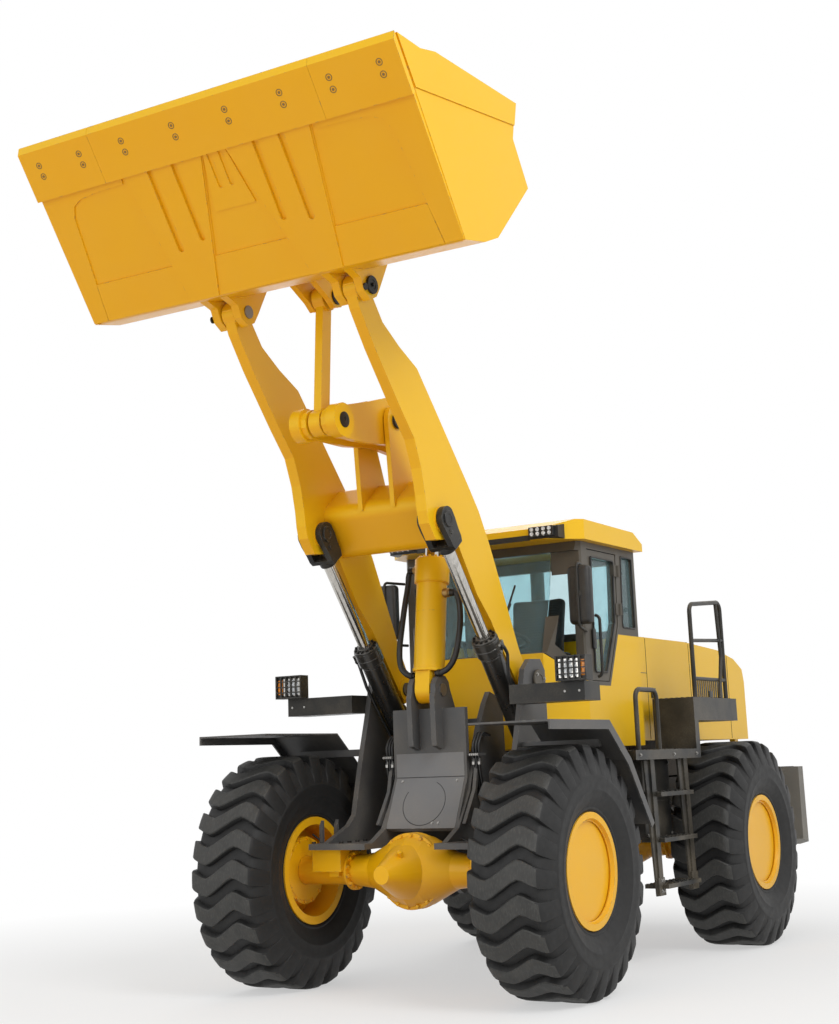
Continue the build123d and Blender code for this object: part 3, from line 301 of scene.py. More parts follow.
def metalMaterial(name, colour, roughness, streak, spread=0.12, metallic=1.0):
    tree, shader, place = startMaterial(name)
    lines = noiseMask(tree, place, 60, 3, streak)
    tone = blendColour(tree, span(tree, lines, 0.3, 0.7), colour, tuple(c * 0.72 for c in colour))
    dusty = useGroup(tree, settledDust, Color=tone, Dust=(0.3, 0.26, 0.2, 1), Amount=0.18, Scale=6.0,
            Top=3.0)
    link(tree, dusty.outputs["Color"], shader.inputs["Base Color"])
    roughen(tree, shader, lines, spread, roughness)
    shader.inputs["Metallic"].default_value = metallic
    bumpFrom(tree, shader, lines, 0.0003)


def rubberMaterial(name, colour, dusted, amount, roughness=0.62):
    tree, shader, place = startMaterial(name)
    dusty = useGroup(tree, settledDust, Color=(*colour, 1), Dust=(*dusted, 1), Amount=amount, Scale=9.0,
            Top=1.9)
    scuffs = span(tree, noiseMask(tree, place, 34, 5, (1, 3, 1)), 0.5, 0.75)
    tone = blendColour(tree, maths(tree, "MULTIPLY", scuffs, amount), dusty.outputs["Color"], dusted)
    link(tree, tone, shader.inputs["Base Color"])
    roughen(tree, shader, noiseMask(tree, place, 20, 4), 0.25, roughness - 0.12)
    fine = useGroup(tree, fineSurface, Grain_Scale=260.0, Wave_Scale=14.0, Grain=0.5, Wave=0.8)
    bumpFrom(tree, shader, fine.outputs["Height"], 0.0006)


def glassMaterial(name, colour, clear):
    tree, shader, place = startMaterial(name)
    film = span(tree, noiseMask(tree, place, 5, 5), 0.45, 0.75)
    link(tree, blendColour(tree, film, colour, tuple(min(1, c * 1.12) for c in colour)),
            shader.inputs["Base Color"])
    roughen(tree, shader, film, 0.05, 0.03)
    setValues(shader, Transmission_Weight=clear, IOR=1.2)


def plasticMaterial(name, colour, roughness, grain):
    tree, shader, place = startMaterial(name)
    dusty = useGroup(tree, settledDust, Color=(*colour, 1), Dust=(0.4, 0.36, 0.3, 1), Amount=0.15,
            Scale=7.0, Top=4.0)
    link(tree, dusty.outputs["Color"], shader.inputs["Base Color"])
    roughen(tree, shader, noiseMask(tree, place, 30, 3), 0.2, roughness - 0.1)
    fine = useGroup(tree, fineSurface, Grain_Scale=grain, Wave_Scale=20.0, Grain=1.0, Wave=0.2)
    bumpFrom(tree, shader, fine.outputs["Height"], 0.0004)


def lampMaterial(name, colour, glow):
    tree, shader, place = startMaterial(name)
    cell = tree.nodes.new("ShaderNodeTexVoronoi")
    cell.inputs["Scale"].default_value = 70
    link(tree, place, cell.inputs["Vector"])
    ring = span(tree, cell.outputs["Distance"], 0.0, 0.6, 1.0, 0.25)
    link(tree, blendColour(tree, ring, tuple(c * 0.45 for c in colour), colour),
            shader.inputs["Base Color"])
    link(tree, blendColour(tree, ring, (0, 0, 0), colour), shader.inputs["Emission Color"])
    setValues(shader, Emission_Strength=glow, Roughness=0.12)


def clothMaterial(name, colour, second):
    tree, shader, place = startMaterial(name)
    weave = tree.nodes.new("ShaderNodeTexWave")
    weave.inputs["Scale"].default_value = 90
    weave.inputs["Distortion"].default_value = 0.4
    link(tree, place, weave.inputs["Vector"])
    mottled = maths(tree, "MULTIPLY", weave.outputs["Fac"], noiseMask(tree, place, 40, 3))
    link(tree, blendColour(tree, mottled, colour, second), shader.inputs["Base Color"])
    setValues(shader, Roughness=0.9, Sheen_Weight=0.3)
    bumpFrom(tree, shader, weave.outputs["Fac"], 0.0006)


# in each paint the first colour is painted on faces that face down and the second on faces that face up:
# painted shade and painted light
paintMaterial("armPaint", (0.84, 0.39, 0.003), (0.87, 0.50, 0.008), dust=0.07, wear=0.18, top=2.0)
paintMaterial("bodyPaint", (0.84, 0.44, 0.006), (0.88, 0.52, 0.010), dust=0.12, wear=0.10, top=2.6)
paintMaterial("axlePaint", (0.82, 0.37, 0.003), (0.88, 0.46, 0.004), dust=0.16, wear=0.35, top=1.6)
paintMaterial("framePaint", (0.055, 0.055, 0.056), (0.085, 0.085, 0.086), roughness=0.42, dust=0.30,
        wear=0.2, bare=(0.3, 0.29, 0.27), coat=0.05)
paintMaterial("apronPaint", (0.175, 0.175, 0.176), (0.19, 0.19, 0.192), roughness=0.45, dust=0.22,
        wear=0.2, bare=(0.34, 0.33, 0.3), coat=0.03)
paintMaterial("blackPaint", (0.014, 0.014, 0.014), (0.02, 0.02, 0.019), roughness=0.38, dust=0.35,
        wear=0.35, bare=(0.2, 0.19, 0.17), top=2.8)
paintMaterial("cylinderPaint", (0.011, 0.011, 0.011), (0.016, 0.016, 0.015), roughness=0.28, dust=0.18,
        wear=0.4, bare=(0.25, 0.24, 0.22), coat=0.3, gleam=0.5)
paintMaterial("cabPaint", (0.052, 0.046, 0.038), (0.085, 0.075, 0.06), roughness=0.4, dust=0.2, wear=0.15,
        top=3.0)
paintMaterial("weightPaint", (0.22, 0.21, 0.185), (0.19, 0.18, 0.16), roughness=0.55, dust=0.3, wear=0.25,
        grain=0.9, wave=1.2, bump=0.003)
paintMaterial("castMetal", (0.09, 0.088, 0.085), (0.12, 0.11, 0.1), roughness=0.6, dust=0.5, wear=0.3,
        coat=0.0, grain=1.0, wave=1.5, bump=0.004)
metalMaterial("chrome", (0.62, 0.60, 0.56), 0.10, (1, 1, 0.05), 0.08)
metalMaterial("pinSteel", (0.32, 0.31, 0.30), 0.35, (6, 6, 6), 0.25)
metalMaterial("boltSteel", (0.42, 0.41, 0.39), 0.32, (8, 8, 8), 0.2)
metalMaterial("darkBolt", (0.05, 0.048, 0.045), 0.4, (8, 8, 8), 0.2)
rubberMaterial("tread", (0.030, 0.030, 0.028), (0.085, 0.082, 0.075), 0.5)
rubberMaterial("sidewall", (0.007, 0.007, 0.007), (0.02, 0.019, 0.018), 0.3)
rubberMaterial("hoseRubber", (0.008, 0.008, 0.008), (0.05, 0.047, 0.04), 0.25, 0.45)
glassMaterial("glass", (0.60, 0.80, 0.84), 0.92)
plasticMaterial("interior", (0.028, 0.028, 0.03), 0.6, 420.0)
plasticMaterial("trim", (0.012, 0.012, 0.012), 0.45, 350.0)
lampMaterial("lens", (0.85, 0.88, 0.9), 0.25)
lampMaterial("amber", (0.95, 0.30, 0.01), 0.3)
lampMaterial("redLens", (0.7, 0.01, 0.01), 0.2)
metalMaterial("boltRust", (0.30, 0.17, 0.05), 0.5, (8, 8, 8), 0.2, 0.5)
metalMaterial("brassy", (0.45, 0.30, 0.12), 0.4, (8, 8, 8), 0.2)
clothMaterial("seatCloth", (0.025, 0.027, 0.03), (0.06, 0.065, 0.07))
print("finishes made:", len(finishes))

nodeFinish = {
    "armPaint": ["boom", "bucket", "bucket_edge", "bellcrank", "link", "link_pin", "tilt_barrel"],
    "bodyPaint": ["hood", "cab_base", "cab_roof"],
    "axlePaint": ["front_axle", "rear_axle", "wheel_front_left", "wheel_front_right",
                  "wheel_rear_left", "wheel_rear_right"],
    "framePaint": ["front_frame", "front_fenders"],
    "blackPaint": ["rear_frame", "ladders", "handrails", "mirrors", "hood_grille", "exhaust",
                   "front_driveshaft",
                   "centre_driveshaft", "rear_driveshaft", "platforms", "headlamps", "work_lamps"],
    "weightPaint": ["counterweight"],
    "cylinderPaint": ["lift_barrel_left", "lift_barrel_right", "steer_barrel_left",
                      "steer_barrel_right"],
    "chrome": ["lift_rod_left", "lift_rod_right", "steer_rod_left", "steer_rod_right", "tilt_rod"],
    "pinSteel": ["bucket_pins", "bellcrank_pin", "tilt_base_pin", "hitch_pins"],
    "sidewall": ["tyre_front_left", "tyre_front_right", "tyre_rear_left", "tyre_rear_right"],
    "cabPaint": ["cab", "cab_door"],
    "glass": ["cab_glass", "door_glass"],
    "interior": ["cab_interior"],
    "castMetal": ["engine_block", "transmission"],
}
for finish, names in nodeFinish.items():
    for name in names:
        slots = nodes[name].data.materials
        slots.clear()
        slots.append(finishes[finish])

# floor, backdrop and lamps
studio = {"floorSize": 60.0, "floorColour": (0.86, 0.86, 0.85), "key": 900, "fill": 260, "rim": 250,
        "ambient": 0.62}


def seenDirectly(tree):
    rays = tree.nodes.new("ShaderNodeLightPath")
    seen = maths(tree, "ADD", rays.outputs["Is Camera Ray"], rays.outputs["Is Glossy Ray"], True)
    return maths(tree, "ADD", seen, rays.outputs["Is Transmission Ray"], True)


def makeStudio():
    mesh = bpy.data.meshes.new("floor")
    half = studio["floorSize"]
    mesh.from_pydata([(-half, -half, -0.001), (half, -half, -0.001), (half, half, -0.001),
            (-half, half, -0.001)], [], [(0, 1, 2, 3)])
    floor = bpy.data.objects.new("floor", mesh)
    scene.collection.objects.link(floor)
    material = bpy.data.materials.new("paleFloor")
    material.use_nodes = True
    tree = material.node_tree
    tree.nodes.clear()
    place = objectPlace(tree)
    matte = tree.nodes.new("ShaderNodeBsdfDiffuse")
    matte.inputs["Color"].default_value = (*studio["floorColour"], 1)
    pale = tree.nodes.new("ShaderNodeEmission")
    pale.inputs["Color"].default_value = (1, 1, 1, 1)
    length = tree.nodes.new("ShaderNodeVectorMath")
    length.operation = "LENGTH"
    link(tree, place, length.inputs[0])
    away = span(tree, length.outputs["Value"], 3.6, 8.0)
    mix = tree.nodes.new("ShaderNodeMixShader")
    link(tree, maths(tree, "MULTIPLY", maths(tree, "ADD", maths(tree, "MULTIPLY", away, 0.5), 0.5),
            seenDirectly(tree)), mix.inputs[0])
    link(tree, matte.outputs[0], mix.inputs[1])
    link(tree, pale.outputs[0], mix.inputs[2])
    output = tree.nodes.new("ShaderNodeOutputMaterial")
    link(tree, mix.outputs[0], output.inputs["Surface"])
    mesh.materials.append(material)

    world = bpy.data.worlds.new("studio")
    scene.world = world
    world.use_nodes = True
    sky = world.node_tree
    sky.nodes.clear()
    level = span(sky, seenDirectly(sky), 0, 1, studio["ambient"], 1.0)
    background = sky.nodes.new("ShaderNodeBackground")
    background.inputs["Color"].default_value = (1, 1, 1, 1)
    link(sky, level, background.inputs["Strength"])
    output = sky.nodes.new("ShaderNodeOutputWorld")
    link(sky, background.outputs[0], output.inputs["Surface"])


def makeLamp(name, place, target, power, size):
    data = bpy.data.lights.new(name, "AREA")
    data.energy = power
    data.size = size
    lamp = bpy.data.objects.new(name, data)
    lamp.location = place
    lamp.rotation_euler = (Vector(target) - Vector(place)).to_track_quat("-Z", "Y").to_euler()
    scene.collection.objects.link(lamp)


makeStudio()
makeLamp("keyLamp", (6.0, 11.0, 11.0), (0.5, 0, 2.2), studio["key"], 6)
makeLamp("fillLamp", (14.0, -2.0, 5.0), (1.5, 0, 2.5), studio["fill"], 8)
makeLamp("rimLamp", (-10.0, -8.0, 9.0), (0, 0, 2), studio["rim"], 7)


# mesh helpers; lengths here are millimetres, forward from the front axle and up from the floor
def spot(x, y, z):
    return at(x / 1000, y / 1000, z / 1000)


def prism(bm, outline, low, high, lift=spot):
    near = [bm.verts.new(lift(x, low, z)) for x, z in outline]
    far = [bm.verts.new(lift(x, high, z)) for x, z in outline]
    bm.faces.new(near)
    bm.faces.new(far[::-1])
    for i in range(len(near)):
        j = (i + 1) % len(near)
        bm.faces.new((near[j], near[i], far[i], far[j]))


def brick(bm, xs, ys, zs):
    prism(bm, [(xs[0], zs[0]), (xs[1], zs[0]), (xs[1], zs[1]), (xs[0], zs[1])], ys[0], ys[1])


def flatPlate(bm, outline, low, high):
    # outline in plan, forward and sideways
    prism(bm, outline, low, high, lambda x, level, y: spot(x, y, level))


def outwards(across, other, angle):
    return across * math.cos(angle) + other * math.sin(angle)


def lathe(bm, centre, axis, profile, sides=32):
    # profile: radius, distance along the axis, both in millimetres; closed at both ends
    axis = Vector(axis).normalized()
    across = axis.orthogonal().normalized()
    other = axis.cross(across)
    rings = []
    for radius, along in profile:
        middle = centre + axis * along / 1000
        if radius < 0.01:
            rings.append([bm.verts.new(middle)])
            continue
        rings.append([bm.verts.new(middle + outwards(across, other, a) * radius / 1000)
                for a in (2 * math.pi * i / sides for i in range(sides))])
    for first, second in zip(rings, rings[1:]):
        for i in range(sides):
            j = (i + 1) % sides
            if len(first) == 1 and len(second) > 1:
                bm.faces.new((first[0], second[j], second[i]))
            elif len(second) == 1 and len(first) > 1:
                bm.faces.new((first[i], first[j], second[0]))
            elif len(first) > 1:
                bm.faces.new((first[i], first[j], second[j], second[i]))
    for ring in (rings[0], rings[-1]):
        if len(ring) > 1:
            bm.faces.new(ring)


def bar(bm, start, end, radius, sides):
    length, lip = (end - start).length * 1000, radius * 0.12
    profile = [(radius - lip, 0), (radius, lip), (radius, length - lip), (radius - lip, length)]
    lathe(bm, start, end - start, profile, sides)


def isSharp(edge, angle):
    return len(edge.link_faces) == 2 and edge.calc_face_angle() > math.radians(angle)


def softenEdges(bm, width, angle=32, segments=2):
    edges = [edge for edge in bm.edges if isSharp(edge, angle)]
    bmesh.ops.bevel(bm, geom=edges, offset=width / 1000, segments=segments, profile=0.6, affect="EDGES",
            clamp_overlap=True)


def shadeByAngle(mesh):
    bm = bmesh.new()
    bm.from_mesh(mesh)
    for face in bm.faces:
        face.smooth = True
    for edge in bm.edges:
        edge.smooth = not isSharp(edge, 38)
    bm.to_mesh(mesh)
    bm.free()


def meshFrom(bm, name, outward=True):
    if outward:
        bmesh.ops.recalc_face_normals(bm, faces=bm.faces)
    mesh = bpy.data.meshes.new(name)
    bm.to_mesh(mesh)
    bm.free()
    return mesh


def piece(name, mesh, body, slot, *finishNames, replaces=()):
    for finish in finishNames:
        mesh.materials.append(finishes[finish])
    shadeByAngle(mesh)
    thing = bpy.data.objects.new(name, mesh)
    scene.collection.objects.link(thing)
    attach(thing, body)
    if replaces:
        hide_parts(*replaces)
    return thing


def solid(name, bm, body, slot, *finishNames, soften=0.0, replaces=()):
    if soften:
        softenEdges(bm, soften)
    return piece(name, meshFrom(bm, name), body, slot, *finishNames, replaces=replaces)


# geometry node trees: things set on points, and hoses and pipes along a path
def newTree(name, inputs):
    tree = bpy.data.node_groups.new(name, "GeometryNodeTree")
    tree.interface.new_socket(name="Geometry", in_out="INPUT", socket_type="NodeSocketGeometry")
    addInputs(tree, inputs)
    tree.interface.new_socket(name="Geometry", in_out="OUTPUT", socket_type="NodeSocketGeometry")
    return tree, tree.nodes.new("NodeGroupInput"), tree.nodes.new("NodeGroupOutput")


def endTree(tree, source, result, geometry):
    real = tree.nodes.new("GeometryNodeRealizeInstances")
    link(tree, geometry, real.inputs[0])
    paint = tree.nodes.new("GeometryNodeSetMaterial")
    link(tree, real.outputs[0], paint.inputs["Geometry"])
    link(tree, source.outputs["Finish"], paint.inputs["Material"])
    link(tree, paint.outputs[0], result.inputs[0])
    return tree


def applied(mesh, kind, setUp):
    thing = bpy.data.objects.new("working", mesh)
    scene.collection.objects.link(thing)
    modifier = thing.modifiers.new("working", kind)
    setUp(modifier)
    thing.update_tag()
    seen = thing.evaluated_get(bpy.context.evaluated_depsgraph_get())
    result = bpy.data.meshes.new_from_object(seen)
    thing.modifiers.remove(modifier)
    bpy.data.objects.remove(thing)
    return result


def runTree(tree, mesh, **values):
    def setUp(modifier):
        modifier.node_group = tree
        for item in tree.interface.items_tree:
            label = item.name.replace(" ", "_")
            if item.in_out == "INPUT" and label in values:
                modifier[item.identifier] = values[label]
    return applied(mesh, "NODES", setUp)


def makeFieldTree(name, corners):
    # a head with so many sides on its washer stands on each point and looks along its facing
    tree, source, result = newTree(name, {"Radius": 0.012, "Height": 0.01, "Finish": None})
    head = tree.nodes.new("GeometryNodeMeshCylinder")
    head.inputs["Vertices"].default_value = corners
    link(tree, source.outputs["Radius"], head.inputs["Radius"])
    link(tree, source.outputs["Height"], head.inputs["Depth"])
    washer = tree.nodes.new("GeometryNodeMeshCylinder")
    washer.inputs["Vertices"].default_value = 14
    link(tree, maths(tree, "MULTIPLY", source.outputs["Radius"], 1.35), washer.inputs["Radius"])
    link(tree, maths(tree, "MULTIPLY", source.outputs["Height"], 0.3), washer.inputs["Depth"])
    lift = tree.nodes.new("GeometryNodeTransform")
    rise = tree.nodes.new("ShaderNodeCombineXYZ")
    link(tree, maths(tree, "MULTIPLY", source.outputs["Height"], 0.5), rise.inputs[2])
    link(tree, head.outputs["Mesh"], lift.inputs["Geometry"])
    link(tree, rise.outputs[0], lift.inputs["Translation"])
    join = tree.nodes.new("GeometryNodeJoinGeometry")
    link(tree, lift.outputs[0], join.inputs[0])
    link(tree, washer.outputs["Mesh"], join.inputs[0])
    facing = tree.nodes.new("GeometryNodeInputNamedAttribute")
    facing.data_type = "FLOAT_VECTOR"
    facing.inputs["Name"].default_value = "facing"
    turn = tree.nodes.new("FunctionNodeAlignRotationToVector")
    turn.axis = "Z"
    link(tree, facing.outputs["Attribute"], turn.inputs["Vector"])
    onPoints = tree.nodes.new("GeometryNodeInstanceOnPoints")
    link(tree, source.outputs["Geometry"], onPoints.inputs["Points"])
    link(tree, join.outputs[0], onPoints.inputs["Instance"])
    link(tree, turn.outputs[0], onPoints.inputs["Rotation"])
    return endTree(tree, source, result, onPoints.outputs[0])


def makePathTree():
    inputs = {"Radius": 0.01, "Bend": 0.04, "Smooth": False, "Finish": None}
    tree, source, result = newTree("pipeRun", inputs)
    curve = tree.nodes.new("GeometryNodeMeshToCurve")
    link(tree, source.outputs["Geometry"], curve.inputs[0])
    bend = tree.nodes.new("GeometryNodeFilletCurve")
    link(tree, curve.outputs[0], bend.inputs[0])
    for socket in bend.inputs:
        if socket.name == "Radius":
            link(tree, source.outputs["Bend"], socket)
        if socket.name == "Count":
            socket.default_value = 6
        if socket.name == "Mode":
            socket.default_value = "Poly"
        if socket.name == "Limit Radius":
            socket.default_value = True
    if hasattr(bend, "mode"):
        bend.mode = "POLY"
    kind = tree.nodes.new("GeometryNodeCurveSplineType")
    kind.spline_type = "CATMULL_ROM"
    link(tree, curve.outputs[0], kind.inputs[0])
    even = tree.nodes.new("GeometryNodeResampleCurve")
    even.mode = "LENGTH"
    for socket in even.inputs:
        if socket.name == "Length":
            socket.default_value = 0.02
    link(tree, kind.outputs[0], even.inputs[0])
    choose = tree.nodes.new("GeometryNodeSwitch")
    choose.input_type = "GEOMETRY"
    link(tree, source.outputs["Smooth"], choose.inputs[0])
    link(tree, bend.outputs[0], choose.inputs[1])
    link(tree, even.outputs[0], choose.inputs[2])
    ring = tree.nodes.new("GeometryNodeCurvePrimitiveCircle")
    ring.inputs["Resolution"].default_value = 12
    link(tree, source.outputs["Radius"], ring.inputs["Radius"])
    skin = tree.nodes.new("GeometryNodeCurveToMesh")
    link(tree, choose.outputs[0], skin.inputs[0])
    link(tree, ring.outputs[0], skin.inputs[1])
    skin.inputs["Fill Caps"].default_value = True
    return endTree(tree, source, result, skin.outputs[0])


boltTree = makeFieldTree("boltField", 6)
studTree = makeFieldTree("studField", 18)
pipeTree = makePathTree()


def field(name, points, body, slot, finish, radius=12, height=10, tree=None):
    # points: place and facing
    mesh = bpy.data.meshes.new(name)
    mesh.from_pydata([tuple(place) for place, facing in points], [], [])
    layer = mesh.attributes.new("facing", "FLOAT_VECTOR", "POINT")
    for item, (place, facing) in zip(layer.data, points):
        item.vector = tuple(facing)
    made = runTree(tree or boltTree, mesh, Radius=radius / 1000, Height=height / 1000,
            Finish=finishes[finish])
    made.name = name
    return piece(name, made, body, slot)


def pipes(name, runs, body, slot, finish, radius, bend=45, smooth=False):
    # runs: lists of (x, y, z) in millimetres
    vertices, edges = [], []
    for run in runs:
        first = len(vertices)
        vertices += [tuple(spot(*point)) for point in run]
        edges += [(first + i, first + i + 1) for i in range(len(run) - 1)]
    mesh = bpy.data.meshes.new(name)
    mesh.from_pydata(vertices, edges, [])
    made = runTree(pipeTree, mesh, Radius=radius / 1000, Bend=bend / 1000, Smooth=smooth,
            Finish=finishes[finish])
    made.name = name
    return piece(name, made, body, slot)


def ringOf(centre, axis, radius, count, lift=0.0, start=0.0):
    # places evenly round an axis, looking along it
    axis = Vector(axis).normalized()
    across = axis.orthogonal().normalized()
    other = axis.cross(across)
    turns = [start + 2 * math.pi * i / count for i in range(count)]
    return [(centre + axis * lift / 1000 + outwards(across, other, a) * radius / 1000, axis)
            for a in turns]


# tyres
tyre = {"radius": 804.5, "lugs": 24, "lugHalf": 61, "draft": 9, "edge": 7, "segments": 120,
        "lugLine": [(-320, -25), (-112, 72), (112, -72), (320, 25)]}


def lugMiddle(y):
    line = tyre["lugLine"]
    total = 0
    for shift in (-26, -13, 0, 13, 26):       # rounds the corners of the zigzag
        place = min(max(y + shift, line[0][0]), line[-1][0])
        for (y0, p0), (y1, p1) in zip(line, line[1:]):
            if y0 <= place <= y1:
                total += p0 + (p1 - p0) * (place - y0) / (y1 - y0)
                break
    return total / 5


def makeLugMesh():
    # outer face of a lug, then the carcass under it: radius, offset from the middle plane
    half = [(600, 294, 598, 291), (640, 288, 632, 280), (690, 275, 676, 262), (735, 262, 712, 249),
            (768, 251, 733, 236), (787, 241, 744, 224), (799, 222, 750, 206), (804, 195, 752, 185),
            (804.5, 150, 753, 150), (804.5, 112, 753, 112), (804.5, 70, 753, 70), (804.5, 35, 753, 35)]
    stations = half + [(804.5, 0, 753, 0)] + [(r, -y, ru, -yu) for r, y, ru, yu in half[::-1]]
    bm = bmesh.new()
    rings = []
    for r, y, under, yUnder in stations:
        middle, halfWidth, draft, edge = lugMiddle(y), tyre["lugHalf"], tyre["draft"], tyre["edge"]
        section = [(under, yUnder, -halfWidth - draft), (r - edge, y, -halfWidth - 1),
                (r, y, -halfWidth + edge), (r, y, 0), (r, y, halfWidth - edge),
                (r - edge, y, halfWidth + 1), (under, yUnder, halfWidth + draft)]
        ring = []
        for radius, offset, across in section:
            angle = (middle + across) / tyre["radius"]
            ring.append(bm.verts.new((radius / 1000 * math.sin(angle), offset / 1000,
                    radius / 1000 * math.cos(angle))))
        rings.append(ring)
    for first, second in zip(rings, rings[1:]):
        for i in range(len(first)):
            j = (i + 1) % len(first)
            bm.faces.new((first[i], first[j], second[j], second[i]))
    bm.faces.new(rings[0])
    bm.faces.new(rings[-1])
    return meshFrom(bm, "lug")


def makeRingTree():
    tree, source, result = newTree("treadRing", {"Lugs": 24, "Finish": None})
    points = tree.nodes.new("GeometryNodePoints")
    link(tree, source.outputs["Lugs"], points.inputs["Count"])
    step = maths(tree, "DIVIDE", 2 * math.pi, source.outputs["Lugs"])
    turn = maths(tree, "MULTIPLY", tree.nodes.new("GeometryNodeInputIndex").outputs[0], step)
    angles = tree.nodes.new("ShaderNodeCombineXYZ")
    link(tree, turn, angles.inputs[1])
    onPoints = tree.nodes.new("GeometryNodeInstanceOnPoints")
    link(tree, points.outputs[0], onPoints.inputs["Points"])
    link(tree, source.outputs["Geometry"], onPoints.inputs["Instance"])
    link(tree, angles.outputs[0], onPoints.inputs["Rotation"])
    return endTree(tree, source, result, onPoints.outputs[0])


def makeCarcassMesh():
    # radius, offset: tread, shoulder, bulging sidewall with its ribs, bead, back along the inside
    side = [(759, 0), (759, 150), (757, 200), (748, 226), (728, 243), (690, 264), (640, 284), (606, 293),
            (600, 297), (590, 297.5), (560, 297), (520, 292), (514, 294), (506, 294), (500, 290),
            (470, 281), (430, 262), (402, 244), (396, 246), (388, 245), (382, 238), (372, 231),
            (364, 226), (352, 214), (340, 200), (331, 196)]
    inside = [(331, 170), (420, 200), (560, 250), (700, 220), (735, 150), (740, 0)]
    outline = side + inside
    outline += [(r, -y) for r, y in inside[-2::-1]] + [(r, -y) for r, y in side[::-1]][:-1]
    bm = bmesh.new()
    count = tyre["segments"]
    rings = []
    for i in range(count):
        a = 2 * math.pi * i / count
        rings.append([bm.verts.new((r / 1000 * math.sin(a), y / 1000, r / 1000 * math.cos(a))) for r,
                y in outline])
    for i in range(count):
        first, second = rings[i], rings[(i + 1) % count]
        for k in range(len(outline)):
            n = (k + 1) % len(outline)
            bm.faces.new((first[k], first[n], second[n], second[k]))
    return meshFrom(bm, "carcass")


forwards, backwards, upwards = Vector((1, 0, 0)), Vector((-1, 0, 0)), Vector((0, 0, 1))


def makeTyres():
    ring = runTree(makeRingTree(), makeLugMesh(), Lugs=tyre["lugs"], Finish=finishes["tread"])
    carcass = makeCarcassMesh()
    for side in ("front_left", "front_right", "rear_left", "rear_right"):
        bm = bmesh.new()
        bm.from_mesh(carcass)
        for face in bm.faces:
            face.material_index = 1
        first = len(bm.faces)
        bm.from_mesh(ring)
        bm.faces.ensure_lookup_table()
        for face in bm.faces[first:]:
            face.material_index = 0 if face.calc_center_median().xz.length > 0.79 else 1
        centre = middle("wheel_" + side)
        for vertex in bm.verts:
            vertex.co += centre
        name = "luggedTyre_" + side
        piece(name, meshFrom(bm, name, outward=False), "roll_" + side, "tyre_rubber", "tread", "sidewall",
                replaces=["tyre_" + side])


makeTyres()
print("tyres made")


def millimetres(v):
    return ((v.x - axleX) * 1000, v.y * 1000, v.z * 1000)


def tilted(base, angle):
    # a place along and above a line that leans so many degrees up from level
    c, s = math.cos(math.radians(angle)), math.sin(math.radians(angle))
    return lambda x, y, z: spot(base[0] + x * c - z * s, y, base[1] + x * s + z * c)


def leaning(angle, x=1.0, z=0.0):
    c, s = math.cos(math.radians(angle)), math.sin(math.radians(angle))
    return Vector((x * c - z * s, 0, x * s + z * c))


def arc(radius, start, end, steps, centre=(0, 0)):
    turns = [math.radians(start + (end - start) * i / steps) for i in range(steps + 1)]
    return [(centre[0] + radius * math.cos(a), centre[1] + radius * math.sin(a)) for a in turns]


def reach(side, near, far):
    return sorted((side * near, side * far))


bothSides = (1, -1)          # left, right


def sides():
    return (("left", 1), ("right", -1))


def pinCap(bm, x, z, y, side, radius, thick=13):
    lathe(bm, spot(x, y, z), (0, side, 0), [(radius, 0), (radius, thick - 4), (radius - 4, thick),
            (radius * 0.55, thick), (radius * 0.5, thick - 4), (0, thick - 4)], 36)


# wheel bolts and rim rings
wheelTrim = {"discBolts": 24, "discRadius": 246, "discFace": 0, "discY": 1.095, "hubBolts": 16,
        "hubRadius": 160, "hubFace": 158, "boltSize": 13}


def makeWheelTrim():
    for side in ("front_left", "front_right", "rear_left", "rear_right"):
        out = 1 if side.endswith("left") else -1
        centre, axis = middle("wheel_" + side), Vector((0, out, 0))
        centre.y = out * wheelTrim["discY"]
        body = "roll_" + side
        points = ringOf(centre, axis, wheelTrim["discRadius"], wheelTrim["discBolts"],
                wheelTrim["discFace"])
        points += ringOf(centre, axis, wheelTrim["hubRadius"], wheelTrim["hubBolts"],
                wheelTrim["hubFace"], 0.1)
        field("wheelBolts_" + side, points, body, "axle_yellow", "axlePaint", wheelTrim["boltSize"], 15)
        bm = bmesh.new()
        lathe(bm, centre, axis, [(66, 181), (66, 188), (60, 191), (24, 191), (22, 196), (0, 196)], 32)
        # seat ring and lock ring inside the rim's lip
        for inner, outer, low, high in ((312, 324, 206, 219), (318, 326, 150, 156)):
            first = [(inner, low), (inner, high), (outer, high + 3), (outer, low)]
            lathe(bm, centre, axis, first + first[:1], 64)
        bmesh.ops.remove_doubles(bm, verts=bm.verts, dist=0.00001)
        solid("rimRings_" + side, bm, body, "axle_yellow", "axlePaint")


makeWheelTrim()

# bucket's edge bolts and the pins' ends
scoop = {"pivot": (1310, 4563), "tilt": 55, "under": -254.6, "boltSides": (215, 640, 1010, 1370),
        "boltRows": (1372, 1296)}
inScoop = tilted(scoop["pivot"], scoop["tilt"])


